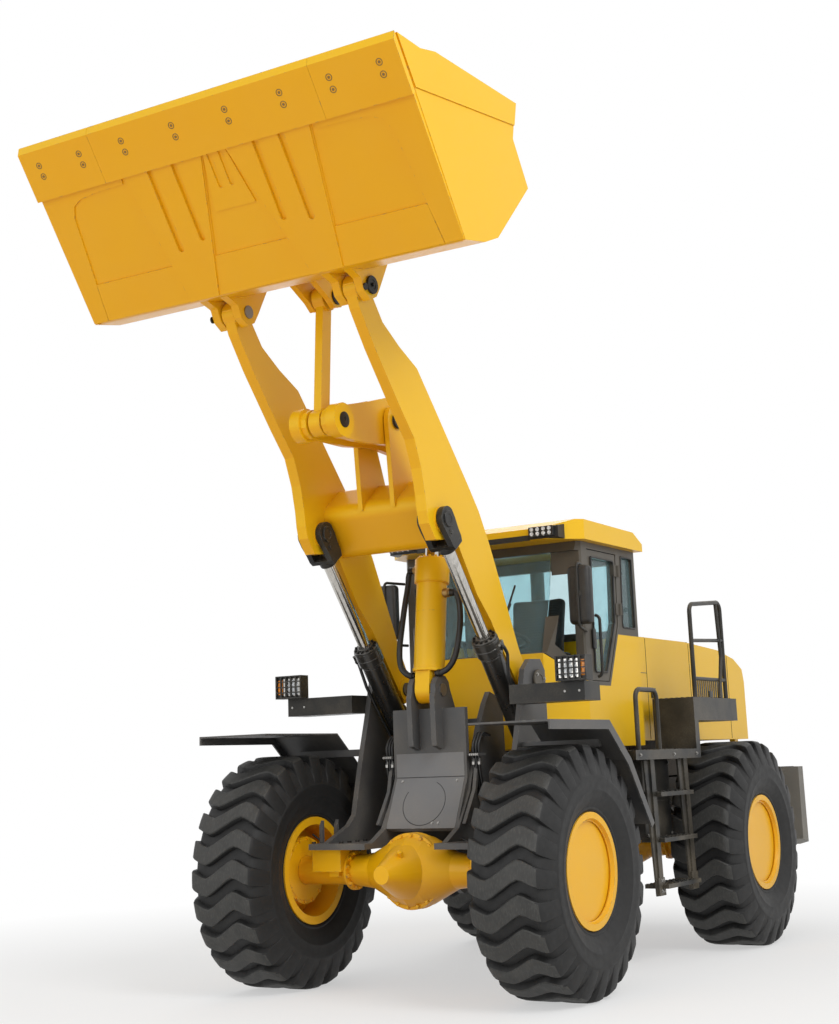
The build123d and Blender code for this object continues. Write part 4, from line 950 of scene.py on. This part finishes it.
def makeBucketTrim():
    down = leaning(scoop["tilt"], 0, -1)
    x, z = scoop["pivot"]
    points = [(inScoop(along, side * y, scoop["under"]), down) for y in scoop["boltSides"]
            for side in (1, -1) for along in scoop["boltRows"]]
    bm = bmesh.new()
    for place, axis in points:
        lathe(bm, place - axis * 0.004, axis, [(23, 0), (23, 5.0), (18, 6.0), (17, 3.5), (9, 3.5),
                (9, 6.5), (0, 6.5)], 20)
    solid("edgeBolts", bm, "scoop", "arm_yellow", "boltRust")
    bm = bmesh.new()
    for side in bothSides:
        pinCap(bm, x, z, side * 624, side, 62)
        prism(bm, arc(24, 0, 330, 11, (x + 78, z - 30)), side * 624, side * 634)
        lathe(bm, spot(x, side * 636, z), (0, side, 0), [(14, 0), (14, 8), (10, 11), (0, 11)], 6)
    solid("bucketPinEnds", bm, "arm_tip_pins", "pin_steel", "darkBolt", soften=1.5)
    # weld beads where the ears and skids meet the floor
    runs = []
    for side in bothSides:
        for y in (383, 617):
            runs.append([(215, side * y), (1136, side * (100 if y == 383 else 750))])
    vertices, edges = [], []
    for run in runs:
        first = len(vertices)
        for i in range(40):
            t = i / 39
            along = run[0][0] + (run[1][0] - run[0][0]) * t
            across = run[0][1] + (run[1][1] - run[0][1]) * t
            vertices.append(tuple(inScoop(along, across, -217)))
        edges += [(first + i, first + i + 1) for i in range(39)]
    mesh = bpy.data.meshes.new("skidWelds")
    mesh.from_pydata(vertices, edges, [])
    made = runTree(pipeTree, mesh, Radius=0.007, Bend=0.0, Smooth=True, Finish=finishes["armPaint"])
    piece("skidWelds", made, "scoop", "arm_yellow")


makeBucketTrim()

# lift cylinders: forked rod ends, heads with their screws, and the pipes beside them
lift = {"base": (-950, 1385), "eye": (403, 3134), "armY": 500, "headTo": 1225, "head": 96, "fork": 180,
        "forkRadius": 88, "forkEar": 42, "forkY": 78}
lift["angle"] = math.degrees(math.atan2(lift["eye"][1] - lift["base"][1],
        lift["eye"][0] - lift["base"][0]))
lift["length"] = math.dist(lift["base"], lift["eye"])


def makeLiftRods():
    for name, side in sides():
        y = side * lift["armY"]
        place = tilted(lift["eye"], lift["angle"])
        ahead = leaning(lift["angle"])
        far, ear = lift["fork"], lift["forkRadius"]
        bm = bmesh.new()
        for half in (1, -1):
            low = y + half * lift["forkY"] - lift["forkEar"] / 2
            outline = [(-far, -70), (-120, -72), (-40, -ear + 4)] + arc(ear, -75, 75,
                    14) + [(-40, ear - 4), (-120, 72), (-far, 70)]
            prism(bm, outline, low, low + lift["forkEar"], place)
        width = lift["forkY"] + lift["forkEar"] / 2
        prism(bm, [(-214, -55), (-178, -70), (-178, 70), (-214, 55)], y - width, y + width, place)
        softenEdges(bm, 9, 32, 3)
        lathe(bm, place(-250, y, 0), ahead, [(50, 0), (60, 6), (62, 14), (62, 44), (58, 60), (58, 75)],
                32)
        for half in (1, -1):
            face = y + half * width
            pinCap(bm, *lift["eye"], face - half * 1, half, 58, 12)
            spotOnEar = place(-92, face, -30)
            lathe(bm, spotOnEar, (0, half, 0), [(15, 0), (15, 7), (12, 10), (0, 10)], 6)
            lathe(bm, place(-92, face - half, -30), (0, half, 0), [(26, 0), (26, 4), (0, 4)], 20)
        for face in bm.faces:
            face.material_index = 1
        lathe(bm, place(-1360, y, 0), ahead, [(40, 0), (45, 5), (45, 1115), (44, 1116)], 40)
        solid("liftRod_" + name, bm, "lift_piston_" + name, "chrome_rod", "chrome", "blackPaint",
                replaces=["lift_rod_" + name])


def makeLiftHeads():
    for name, side in sides():
        y = side * lift["armY"]
        place = tilted(lift["base"], lift["angle"])
        ahead = leaning(lift["angle"])
        body = "lift_cylinder_" + name
        bm = bmesh.new()
        head = lift["head"]
        lathe(bm, place(lift["headTo"] - 2, y, 0), ahead, [(head - 4, 0), (head - 4, 16), (head - 9, 20),
                (60, 20), (58, 30), (48, 30), (46.5, 26), (46.5, 0)], 48)
        for along, radius in ((1112, 91), (1160, 98.5), (1085, 85)):
            lathe(bm, place(along, y, 0), ahead, [(radius - 3, 0), (radius, 3), (radius, 9),
                    (radius - 3, 12)], 48)
        # port block on the head
        prism(bm, [(1128, -40), (1190, -40), (1190, 40), (1128, 40)], y + side * 84, y + side * 112,
                place)
        solid("liftHead_" + name, bm, body, "cylinder_black", "cylinderPaint", soften=1.5)
        points = ringOf(place(lift["headTo"] + 18, y, 0), ahead, 75, 12)
        field("liftHeadScrews_" + name, points, body, "pin_steel", "darkBolt", 9, 12)
        world = [place(1160, y + side * 112, 0), place(1160, y + side * 128, 0),
                place(1090, y + side * 128, 10), place(930, y + side * 100, -50),
                place(700, y + side * 72, -74), place(300, y + side * 30, -92), place(190, y, -94)]
        runs = [[millimetres(v) for v in world]]
        pipes("liftPipe_" + name, runs, body, "cylinder_black", "hoseRubber", 12, 60)
        field("liftPortScrews_" + name, [(place(1160 + a, y + side * 112, b), Vector((0, side, 0)))
                for a in (-24, 24) for b in (-28, 28)], body, "pin_steel", "boltSteel", 7, 8)


makeLiftRods()
makeLiftHeads()
print("lift cylinders made")

# tilt cylinder: collar screws, ports and its two hoses
dump = {"base": (-240, 2030), "eye": (-460, 3745), "top": 950}
dump["angle"] = math.degrees(math.atan2(dump["eye"][1] - dump["base"][1],
        dump["eye"][0] - dump["base"][0]))


def makeTiltTrim():
    place = tilted(dump["base"], dump["angle"])
    ahead = leaning(dump["angle"])
    bm = bmesh.new()
    lathe(bm, place(dump["top"] - 1, 0, 0), ahead, [(122, 0), (122, 8), (116, 12), (74, 12), (72, 20),
            (57, 20), (56.5, 0)], 48)
    for along, radius, long in ((128, 119, 26), (560, 113.5, 4), (772, 121, 10)):
        lathe(bm, place(along, 0, 0), ahead, [(radius - 3, 0), (radius, 3), (radius, long - 3),
                (radius - 3, long)], 48)
    solid("tiltRings", bm, "tilt_cylinder", "arm_yellow", "armPaint")
    field("tiltScrews", ringOf(place(dump["top"] + 11, 0, 0), ahead, 96, 14), "tilt_cylinder",
            "arm_yellow", "armPaint", 11, 14)
    bm = bmesh.new()
    for y, along in ((-1, 890), (1, 700)):
        lathe(bm, place(along, y * 100, 0), (0, y, 0), [(34, 0), (34, 45), (28, 52), (24, 52), (24, 70),
                (0, 70)], 24)
    solid("tiltPorts", bm, "tilt_cylinder", "arm_yellow", "brassy", soften=1)
    right = [(890, -165, 0), (890, -190, 10), (860, -215, 20), (780, -222, 24), (640, -232, 8),
            (470, -240, -10), (300, -240, -30), (180, -218, -40), (120, -165, -45), (100, -118, -50)]
    left = [(700, 165, 0), (700, 195, 4), (650, 226, 10), (520, 240, 16), (360, 240, 0), (220, 222, -20),
            (140, 180, -40), (110, 120, -50)]
    runs = [[millimetres(place(a, y, z)) for a, y, z in run] for run in (right, left)]
    pipes("tiltHoses", runs, "tilt_cylinder", "cylinder_black", "hoseRubber", 22, 60, True)
    bm = bmesh.new()
    for run in (right, left):
        a, y, z = run[-1]
        lathe(bm, place(a, y + (8 if y > 0 else -8), z), (0, -1 if y > 0 else 1, 0),
                [(27, 0), (27, 24), (20, 26), (20, 40)], 20)
        a, y, z = run[0]
        lathe(bm, place(a, y, z), (0, 1 if y > 0 else -1, 0), [(27, -4), (27, 30), (24, 32)], 20)
    solid("tiltHoseEnds", bm, "tilt_cylinder", "pin_steel", "darkBolt")


makeTiltTrim()
print("tilt cylinder made")

# front frame: apron's cover, seam and screws, axle feet, root pins, hose brackets
apron = {"low": (-60, 1080), "bend": (-225, 1420)}


def onApron(t, y, proud=0.0):
    # t runs up the sloping part of the apron
    (x0, z0), (x1, z1) = apron["low"], apron["bend"]
    out = Vector((z1 - z0, 0, x0 - x1)).normalized()
    return spot(x0 + (x1 - x0) * t, y, z0 + (z1 - z0) * t) + out * proud / 1000, out


rootPin = (-660, 2070)


def makeFrontTrim():
    rootX, rootZ = rootPin
    points = [onApron(t, y, 4) for t, y in ((0.10, 90), (0.10, 140), (0.93, -225), (0.93, 225))]
    field("apronScrews", points, "front", "frame_grey", "boltSteel", 8, 6)
    # outline of the round cover and the seam above it, as thin dark gaps
    ring, edges = [], []
    for i in range(49):
        a = math.radians(-65 + 275 * i / 48)
        place, _ = onApron(0.50 - 0.44 * math.sin(a), 170 * math.cos(a) - 10, 2.5)
        ring.append(tuple(place))
    edges = [(i, i + 1) for i in range(48)]
    first = len(ring)
    ring += [tuple(spot(-221.5, y, 1425)) for y in (-278, 278)]
    edges.append((first, first + 1))
    mesh = bpy.data.meshes.new("apronSeams")
    mesh.from_pydata(ring, edges, [])
    piece("apronSeams", runTree(pipeTree, mesh, Radius=0.0022, Bend=0.0, Smooth=False,
            Finish=finishes["trim"]), "front", "frame_grey")
    # face plate between the towers, a little lighter than the frame
    bm = bmesh.new()
    face = [(-59, 1081), (-222, 1420), (-222, 1590), (-228, 1590), (-228, 1421), (-65, 1082)]
    prism(bm, face, -279, 279)
    solid("apronFace", bm, "front", "frame_grey", "apronPaint")
    bm = bmesh.new()
    for side in bothSides:
        # foot on the axle's pad, gussets of the tower and the hose clamp on its front edge
        low, high = reach(side, 500, 775)
        brick(bm, (-175, 175), (low, high), (956, 992))
        for x in (-90, 90):
            low, high = reach(side, 662, 740)
            prism(bm, [(x - 12, 992), (x + 12, 992), (x + 12, 1110), (x - 12, 1150)], low, low + 26)
        low, high = reach(side, 318, 398)
        brick(bm, (-330, -225), (low, high), (1560, 1578))
        low, high = reach(side, 340, 366)
        prism(bm, [(-60, 1110), (-215, 1330), (-285, 1600), (-310, 1600), (-240, 1320), (-90, 1100)], low,
                high)
    solid("frameTrim", bm, "front", "frame_grey", "framePaint", soften=3)
    points = [(spot(x, side * y, 992), upwards) for side in bothSides for x in (-150, -50, 50, 150)
            for y in (520, 755)]
    field("footBolts", points, "front", "pin_steel", "darkBolt", 15, 16)
    points = [(spot(-224, side * y, 1569), forwards) for side in bothSides
            for y in (330, 345, 360, 375, 390)]
    field("clampScrews", points, "front", "pin_steel", "boltSteel", 6, 8)
    bm = bmesh.new()
    for side in bothSides:
        pinCap(bm, rootX, rootZ, side * 671, side, 82, 15)
        lathe(bm, spot(-600, side * 661, 2030), (0, side, 0), [(26, 0), (26, 22), (20, 26), (0, 26)], 24)
    solid("rootPinCaps", bm, "front", "pin_steel", "cabPaint", soften=1.5)
    points = []
    for side in bothSides:
        points += ringOf(spot(rootX, side * 672, rootZ), (0, side, 0), 62, 3, 13)
    field("rootPinScrews", points, "front", "pin_steel", "boltSteel", 10, 9)
    runs = []
    for side in bothSides:
        for y in (337, 360, 383):
            runs.append([(-255, side * y, 1558), (-262, side * y, 1470), (-300, side * y, 1330),
                    (-380, side * y, 1190)])
            runs.append([(-262, side * y, 1580), (-262, side * y, 1650), (-330, side * y, 1716),
                    (-420, side * y, 1700)])
    pipes("towerHoses", runs, "front", "cylinder_black", "hoseRubber", 10, 50, True)
    bm = bmesh.new()
    for side in bothSides:
        for y in (337, 383):
            lathe(bm, spot(-258, side * y, 1500), (0, 0, 1), [(15, 0), (15, 20), (12, 22), (12, 44)], 6)
    solid("hoseNuts", bm, "front", "pin_steel", "boltSteel")


makeFrontTrim()

# axles: ribs, cover screws, plugs and brake screws
axles = {"height": 805, "rear": -3200, "brake": 955, "neck": 520}


def makeAxleTrim():
    up = axles["height"]
    for name, x, body in (("front", 0, "front"), ("rear", axles["rear"], "chassis")):
        points = ringOf(spot(x, 0, up), (1, 0, 0), 236, 18, 95)
        for side in bothSides:
            points += ringOf(spot(x, side * axles["brake"], up), (0, -side, 0), 218, 14, 12)
            points += ringOf(spot(x, side * axles["neck"], up), (0, -side, 0), 118, 12, 22)
        field(name + "AxleBolts", points, body, "axle_yellow", "axlePaint", 13, 16)
        bm = bmesh.new()
        lathe(bm, spot(x + 60, 0, up), (1, 0, 0), [(249, 0), (254, 6), (254, 28), (244, 34)], 64)
        for side in bothSides:
            lathe(bm, spot(x, side * 500, up), (0, side, 0), [(100, 0), (134, 2), (134, 20), (104, 24)],
                    48)
            lathe(bm, spot(x, side * 935, up), (0, side, 0), [(100, 0), (232, 4), (232, 14), (214, 22)],
                    48)
            brick(bm, (x + 92, x + 132), reach(side, 560, 640), (770, 850))
        lathe(bm, spot(x + 300, 60, 930), (0.5, 0.1, 0.8), [(22, -60), (22, 20), (16, 24), (0, 24)], 6)
        solid(name + "AxleRings", bm, body, "axle_yellow", "axlePaint", soften=1.5)
        runs = [[(x - 40, side * 900, 1050), (x - 60, side * 760, 960), (x - 70, side * 560, 930),
                (x - 60, side * 330, 1010)] for side in bothSides]
        pipes(name + "BrakePipes", runs, body, "cylinder_black", "hoseRubber", 8, 40, True)


makeAxleTrim()
print("front frame and axles dressed")

# cab: dark roof lining and visor, lamps, mirrors, wiper, door furniture, seat and controls
cab = {"top": 3130}


def roundedBox(bm, xs, ys, zs, size, segments=4):
    first = set(bm.verts)
    brick(bm, xs, ys, zs)
    made = [v for v in bm.verts if v not in first]
    edges = list(dict.fromkeys(e for v in made for e in v.link_edges))
    bmesh.ops.bevel(bm, geom=edges, offset=size / 1000, segments=segments, profile=0.5, affect="EDGES",
            clamp_overlap=True)


def makeCabTrim():
    bm = bmesh.new()
    top = cab["top"]
    # lining under the roof, dark visor over the windscreen
    flatPlate(bm, [(-2236, -842), (-2236, 842), (-1184, 842), (-968, 622), (-968, -622), (-1184, -842)],
            top + 1, top + 24)
    brick(bm, (-1010, -952), (-500, 500), (top + 2, top + 40))
    for side in bothSides:
        prism(bm, [(-1060, top + 2), (-952, top + 6), (-952, top + 92), (-1060, top + 112)],
                *reach(side, 495, 745))
    solid("roofLining", bm, "chassis", "black_paint", "trim", soften=4)
    bm = bmesh.new()
    for side in bothSides:
        low, high = reach(side, 528, 712)
        roundedBox(bm, (-962, -905.5), (low, high), (top + 20.5, top + 89), 8)
        roundedBox(bm, (-2309, -2250), (low, high), (top + 6, top + 59), 8)
    solid("roofLampBodies", bm, "chassis", "black_paint", "trim")
    points = []
    for side in bothSides:
        for column in range(4):
            for row in range(2):
                points.append((spot(-906, side * (547 + column * 49), top + 38 + row * 33), forwards))
                points.append((spot(-2308, side * (547 + column * 49), top + 20 + row * 25), backwards))
    field("roofLampLenses", points, "chassis", "lamp", "lens", 15, 4, tree=studTree)
    bm = bmesh.new()
    for side in bothSides:
        roundedBox(bm, (-1104, -1016), reach(side, 758, 942), (2482, 2918), 34, 6)
    solid("mirrorHeads", bm, "chassis", "black_paint", "trim", replaces=["mirrors"])
    runs = []
    for side in bothSides:
        runs.append([(-1225, side * 792, 2936), (-1080, side * 842, 2938), (-1012, side * 850, 2936),
                (-1006, side * 850, 2700), (-1006, side * 850, 2466), (-1080, side * 845, 2448),
                (-1245, side * 790, 2446)])
    pipes("mirrorArms", runs, "chassis", "black_paint", "blackPaint", 11, 40)
    bm = bmesh.new()
    for side in bothSides:
        lathe(bm, spot(-1016, side * 850, 2700), (1, 0, 0), [(26, 0), (26, 6), (12, 10), (12, 20)], 20)
        lathe(bm, spot(-1106, side * 850, 2700), (-1, 0, 0), [(60, 0), (58, 1)], 24)
    solid("mirrorClamps", bm, "chassis", "black_paint", "blackPaint")
    # wiper over the windscreen
    runs = [[(-1030, 60, 2312), (-1060, 130, 2440), (-1130, 220, 2690)],
            [(-1094, 175, 2560), (-1160, 250, 2830)]]
    pipes("wiper", runs, "chassis", "black_paint", "blackPaint", 8, 30)
    # grab rail beside the door, its handle and rubber seals
    runs = [[(-1362, 812, 2110), (-1362, 848, 2120), (-1366, 848, 2560), (-1366, 812, 2570)]]
    pipes("doorRail", runs, "door", "black_paint", "blackPaint", 12, 40)
    bm = bmesh.new()
    roundedBox(bm, (-1398, -1352), (781, 800), (2320, 2470), 8)
    solid("doorHandle", bm, "door", "black_paint", "trim")
    runs = []
    outline = [(-1405, top - 110), (-1385, 2150), (-1585, 2150), (-1775, 2535), (-1803, top - 110),
            (-1405, top - 110)]
    runs.append([(x, 783, z) for x, z in outline])
    pipes("doorSeal", runs, "door", "black_paint", "trim", 7, 18)
    runs = []
    for side in bothSides:
        runs.append([(x, side * 781, z) for x, z in ((-1955, top - 60), (-1925, 2510), (-2160, 2510),
                (-2160, top - 60), (-1955, top - 60))])
    runs.append([(x, -781, z) for x, z in ((-1345, top - 50), (-1320, 2080), (-1625, 2080), (-1835, 2520),
            (-1865, top - 50), (-1345, top - 50))])
    runs.append([(-1800, -777, 2500), (-1345, -777, 2500)])
    pipes("windowSeals", runs, "chassis", "black_paint", "trim", 7, 18)
    bm = bmesh.new()
    for x, y in ((-1500, 560), (-1500, -560), (-2000, 560), (-2000, -560)):
        low = top + 148 if x > -2000 else top + 138
        lathe(bm, spot(x, y, low - 6), (0, 0, 1), [(20, 0), (20, 6), (10, 8)], 16)
    solid("roofPads", bm, "chassis", "body_yellow", "bodyPaint")


def subdivided(name, bm, body, slot, finish):
    def setUp(modifier):
        modifier.levels = modifier.render_levels = 2
    made = applied(meshFrom(bm, name), "SUBSURF", setUp)
    made.name = name
    return piece(name, made, body, slot, finish)


def cushion(bm, low, high, crown):
    # a pad whose top swells and whose sides pull in between its corners
    across, along, down = 8, 6, 2        # faces each way
    size = high - low
    grid = {}
    for k in range(down + 1):
        for i in range(across + 1):
            for j in range(along + 1):
                u, v, w = i / across * 2 - 1, j / along * 2 - 1, k / down
                if abs(u) < 1 and abs(v) < 1 and 0 < k < down:
                    continue
                pull = 1 - 0.035 * (1 - v * v) * abs(u)
                pinch = 1 - 0.05 * (1 - u * u) * abs(v)
                swell = crown * (1 - u ** 4) * (1 - v ** 4) * (1 if k == down else 0)
                grid[i, j, k] = bm.verts.new((low.x + size.x * (u * pull + 1) / 2,
                        low.y + size.y * (v * pinch + 1) / 2, low.z + size.z * w + swell))
    def quad(*keys):
        bm.faces.new([grid[key] for key in keys])
    for i in range(across):
        for j in range(along):
            quad((i, j, 0), (i, j + 1, 0), (i + 1, j + 1, 0), (i + 1, j, 0))
            quad((i, j, down), (i + 1, j, down), (i + 1, j + 1, down), (i, j + 1, down))
    for k in range(down):
        for i in range(across):
            quad((i, 0, k), (i + 1, 0, k), (i + 1, 0, k + 1), (i, 0, k + 1))
            quad((i, along, k), (i, along, k + 1), (i + 1, along, k + 1), (i + 1, along, k))
        for j in range(along):
            quad((0, j, k), (0, j, k + 1), (0, j + 1, k + 1), (0, j + 1, k))
            quad((across, j, k), (across, j + 1, k), (across, j + 1, k + 1), (across, j, k + 1))


def makeSeat():
    bm = bmesh.new()
    cushion(bm, spot(-1985, -250, 2058), spot(-1500, 250, 2150), 0.022)
    seat = subdivided("seatCushion", bm, "chassis", "interior", "seatCloth")
    bm = bmesh.new()
    cushion(bm, Vector((0, -0.235, 0)), Vector((0.62, 0.235, 0.085)), 0.018)
    start = spot(-1895, 0, 2190)
    turn = Matrix.Translation(start) @ Matrix.Rotation(math.radians(-99), 4, "Y")
    for vertex in bm.verts:
        vertex.co = turn @ vertex.co
    back = subdivided("seatBack", bm, "chassis", "interior", "seatCloth")
    bm = bmesh.new()
    roundedBox(bm, (-1930, -1620), (-200, 200), (1642, 1900), 30)
    roundedBox(bm, (-1960, -1530), (-235, 235), (1960, 2056), 25)
    roundedBox(bm, (-1920, -1640), (-150, 150), (1895, 1965), 12)
    for side in bothSides:
        roundedBox(bm, (-1900, -1600), reach(side, 262, 330), (2290, 2345), 20)
        roundedBox(bm, (-1890, -1840), reach(side, 270, 320), (2030, 2300), 12)
    roundedBox(bm, (-1950, -1450), (-520, -362), (1642, 2298), 30)
    roundedBox(bm, (-1360, -1120), (-90, 90), (1642, 1720), 20)
    prism(bm, [(-1150, 1700), (-1262, 1700), (-1382, 2398), (-1312, 2428)], -70, 70)
    roundedBox(bm, (-1190, -1090), (-420, 420), (2085, 2290), 24)
    solid("cabFittings", bm, "chassis", "interior", "interior", replaces=["cab_interior"])
    bm = bmesh.new()
    centre = spot(-1365, 0, 2440)
    axis = leaning(106)
    across = axis.orthogonal().normalized()
    ringVerts = []
    for i in range(48):
        a = 2 * math.pi * i / 48
        out = Matrix.Rotation(a, 3, axis) @ across
        middleOfRim = centre + out * 0.205
        ringVerts.append([bm.verts.new(middleOfRim + outwards(out, axis, 2 * math.pi * j / 10) * 0.0155)
                for j in range(10)])
    for i in range(48):
        for j in range(10):
            bm.faces.new((ringVerts[i][j], ringVerts[(i + 1) % 48][j],
                    ringVerts[(i + 1) % 48][(j + 1) % 10], ringVerts[i][(j + 1) % 10]))
    for i in range(3):
        out = Matrix.Rotation(2.1 * i + 0.5, 3, axis) @ across
        bar(bm, centre - axis * 0.01, centre + out * 0.2, 11, 10)
    lathe(bm, centre - axis * 0.03, axis, [(46, 0), (46, 30), (36, 38), (0, 38)], 24)
    for x, y in ((-1500, -400), (-1560, -440), (-1640, -470)):
        bar(bm, spot(x, y, 2295), spot(x + 30, y, 2420), 7, 10)
        lathe(bm, spot(x + 30, y, 2410), (0, 0, 1), [(12, 0), (19, 12), (19, 34), (10, 44)], 14)
    solid("cabControls", bm, "chassis", "interior", "trim")


makeCabTrim()
makeSeat()
print("cab dressed")

# headlamps
def makeHeadlamps():
    bm = bmesh.new()
    amber = bmesh.new()
    points = []
    for side in bothSides:
        low, high = reach(side, 1084, 1230)
        brick(bm, (-172, -164.5), (low, high), (2052, 2178))
        low, high = reach(side, 1236, 1282)
        roundedBox(amber, (-176, -163), (low, high), (2060, 2170), 4)
        points += [(spot(-164, side * (1106 + 34 * i), 2072 + 28 * j), forwards) for i in range(4)
                for j in range(4)]
    solid("headlampPlates", bm, "front", "black_paint", "chrome")
    solid("turnLenses", amber, "front", "lamp", "amber")
    field("headlampLenses", points, "front", "lamp", "lens", 11, 3, tree=studTree)
    points = [(spot(-235, side * y, 1965), forwards) for side in bothSides for y in (1090, 1200)]
    field("headlampScrews", points, "front", "pin_steel", "boltSteel", 9, 8)


makeHeadlamps()

# hood, platform and steps
def makeHoodTrim():
    runs = []
    for side in bothSides:
        y = side * 680.5
        runs += [[(-2560, y, 1650), (-2560, y, 2462)], [(-3480, y, 1650), (-3480, y, 2455)],
                [(-2250, y, 2180), (-2560, y, 2180)], [(-4380, y, 1650), (-4380, y, 2385)]]
    runs += [[(-3480, -672, 2471), (-3480, 672, 2471)], [(-2560, -672, 2471), (-2560, 672, 2471)]]
    pipes("hoodSeams", runs, "engine_hood", "body_yellow", "trim", 2.4, 4)
    bm = bmesh.new()
    for side in bothSides:
        y0, y1 = reach(side, 679, 690)
        roundedBox(bm, (-2700, -2620), (y0, y1), (1980, 2060), 3)
        roundedBox(bm, (-3960, -3880), (y0, y1), (1980, 2060), 3)
        lathe(bm, spot(-2660, side * 690, 2020), (0, side, 0), [(18, 0), (18, 5), (12, 8), (0, 8)], 18)
    solid("hoodLatches", bm, "engine_hood", "black_paint", "blackPaint")
    points = [(spot(-3560 - 46 * i, side * 681, 1980), Vector((0, side, 0))) for side in bothSides
            for i in range(15)]
    # slats lie upright on the hood's sides
    bm = bmesh.new()
    for place, facing in points:
        x, y, z = millimetres(place)
        prism(bm, [(x - 13, z - 180), (x + 13, z - 180), (x + 13, z + 180), (x - 13, z + 180)],
                *sorted((y - facing.y * 4, y + facing.y * 3)))
    solid("hoodVents", bm, "engine_hood", "black_paint", "trim", soften=1.5)
    bm = bmesh.new()
    for side in bothSides:
        roundedBox(bm, (-4800, -4784), reach(side, 470, 600), (1760, 1980), 6)
    solid("tailLamps", bm, "engine_hood", "lamp", "redLens")


def makePlatformTrim():
    points = []
    for side in bothSides:
        for i in range(14):
            for j in range(7):
                x, y = -2340 + i * 62 + (31 if j % 2 else 0), side * (830 + j * 46)
                if x < -1640:
                    points.append((spot(x, y, 1561), upwards))
        for i in range(13):
            for j in range(7):
                points.append((spot(-3260 + i * 66, side * (830 + j * 46), 1961), upwards))
    field("platformStuds", points, "chassis", "black_paint", "blackPaint", 11, 5, tree=studTree)
    points = []
    for side in bothSides:
        for level, lean in ((560, 36), (890, 22), (1220, 10)):
            for i in range(9):
                x = -2140 - lean + 70 * i
                for y in (990, 1035, 1080, 1125):
                    points.append((spot(x, side * y, level + 31), upwards))
    field("stepStuds", points, "chassis", "black_paint", "blackPaint", 8, 6, tree=studTree)
    bm = bmesh.new()
    for side in bothSides:
        y0, y1 = reach(side, 790, 958)
        roundedBox(bm, (-2230, -1720), (y0, y1), (900, 1489), 14)
        brick(bm, (-2222, -1728), reach(side, 955, 964), (1180, 1192))
        for x in (-1560 - 105, -2196 - 105):
            prism(bm, [(x - 30, 510), (x + 90, 510), (x + 190, 1485), (x + 60, 1485)],
                    *reach(side, 1070, 1086))
            prism(bm, [(x - 26, 512), (x + 86, 512), (x + 98, 640), (x - 14, 640)],
                    *reach(side, 1086, 1104))
    solid("sideBoxes", bm, "chassis", "black_paint", "blackPaint", soften=2)
    points = [(spot(-1660 + dx, side * 1104, z), Vector((0, side, 0))) for side in bothSides for dx,
            z in ((0, 545), (40, 545), (5, 620), (45, 620))]
    points += [(spot(x, side * 1151, 1525), Vector((0, side, 0))) for side in bothSides
            for x in (-2350, -1900, -1280)]
    points += [(spot(x, side * 964, z), Vector((0, side, 0))) for side in bothSides
            for x in (-2200, -1750) for z in (930, 1160, 1220, 1460)]
    field("sideScrews", points, "chassis", "pin_steel", "boltSteel", 10, 9)
    runs = []
    for side in bothSides:
        y = side * 1120
        runs += [[(-2480, y, 2110), (-3150, y, 2110)], [(-3150, y, 2440), (-2480, y, 2410)],
                [(-3060, y, 2735), (-3060, side * 1135, 2300), (-2960, side * 1140, 1962)]]
    pipes("railBars", runs, "chassis", "black_paint", "blackPaint", 15, 50)


makeHoodTrim()
makePlatformTrim()

# counterweight
def makeWeightTrim():
    bm = bmesh.new()
    for side in bothSides:
        roundedBox(bm, (-4900, -4800), reach(side, 905, 1000), (980, 1180), 8)
        brick(bm, (-4470, -4455), reach(side, 300, 1200), (1379, 1384))
    solid("weightSlots", bm, "chassis", "black_paint", "trim")
    points = [(spot(-4700 + 120 * i, side * 700, 1381), upwards) for side in bothSides for i in range(2)]
    field("weightBolts", points, "chassis", "pin_steel", "darkBolt", 22, 20)


makeWeightTrim()


linkPins = {"low": (1020, 3780), "crank": (320, 3890), "top": (960, 4665)}


def makeLinkPinEnds():
    (lowX, lowZ), (crankX, crankZ), (topX, topZ) = (linkPins[name] for name in ("low", "crank", "top"))
    eyeX, eyeZ = dump["eye"]
    bm = bmesh.new()
    for side in bothSides:
        lathe(bm, spot(lowX, side * 184, lowZ), (0, side, 0),
                [(54, 0), (54, 8), (48, 10), (20, 10), (16, 6), (0, 6)], 32)
    solid("linkPinEnds", bm, "crank_link_pin", "pin_steel", "darkBolt")
    bm = bmesh.new()
    for side in bothSides:
        pinCap(bm, crankX, crankZ, side * 163, side, 58, 12)
    solid("crankPinEnds", bm, "crank_pin", "pin_steel", "darkBolt")
    bm = bmesh.new()
    for side in bothSides:
        lathe(bm, spot(eyeX, side * 63, eyeZ), (0, side, 0), [(44.5, 0), (44.5, 42), (60, 45), (60, 56),
                (54, 60), (0, 60)], 32)
    solid("tiltEyePins", bm, "crank", "pin_steel", "darkBolt")
    bm = bmesh.new()
    for side in bothSides:
        lathe(bm, spot(topX, side * 106, topZ), (0, side, 0), [(58, 0), (58, 10), (52, 14), (0, 14)], 32)
    solid("linkEyePins", bm, "scoop", "pin_steel", "darkBolt")


makeLinkPinEnds()
print("body dressed")
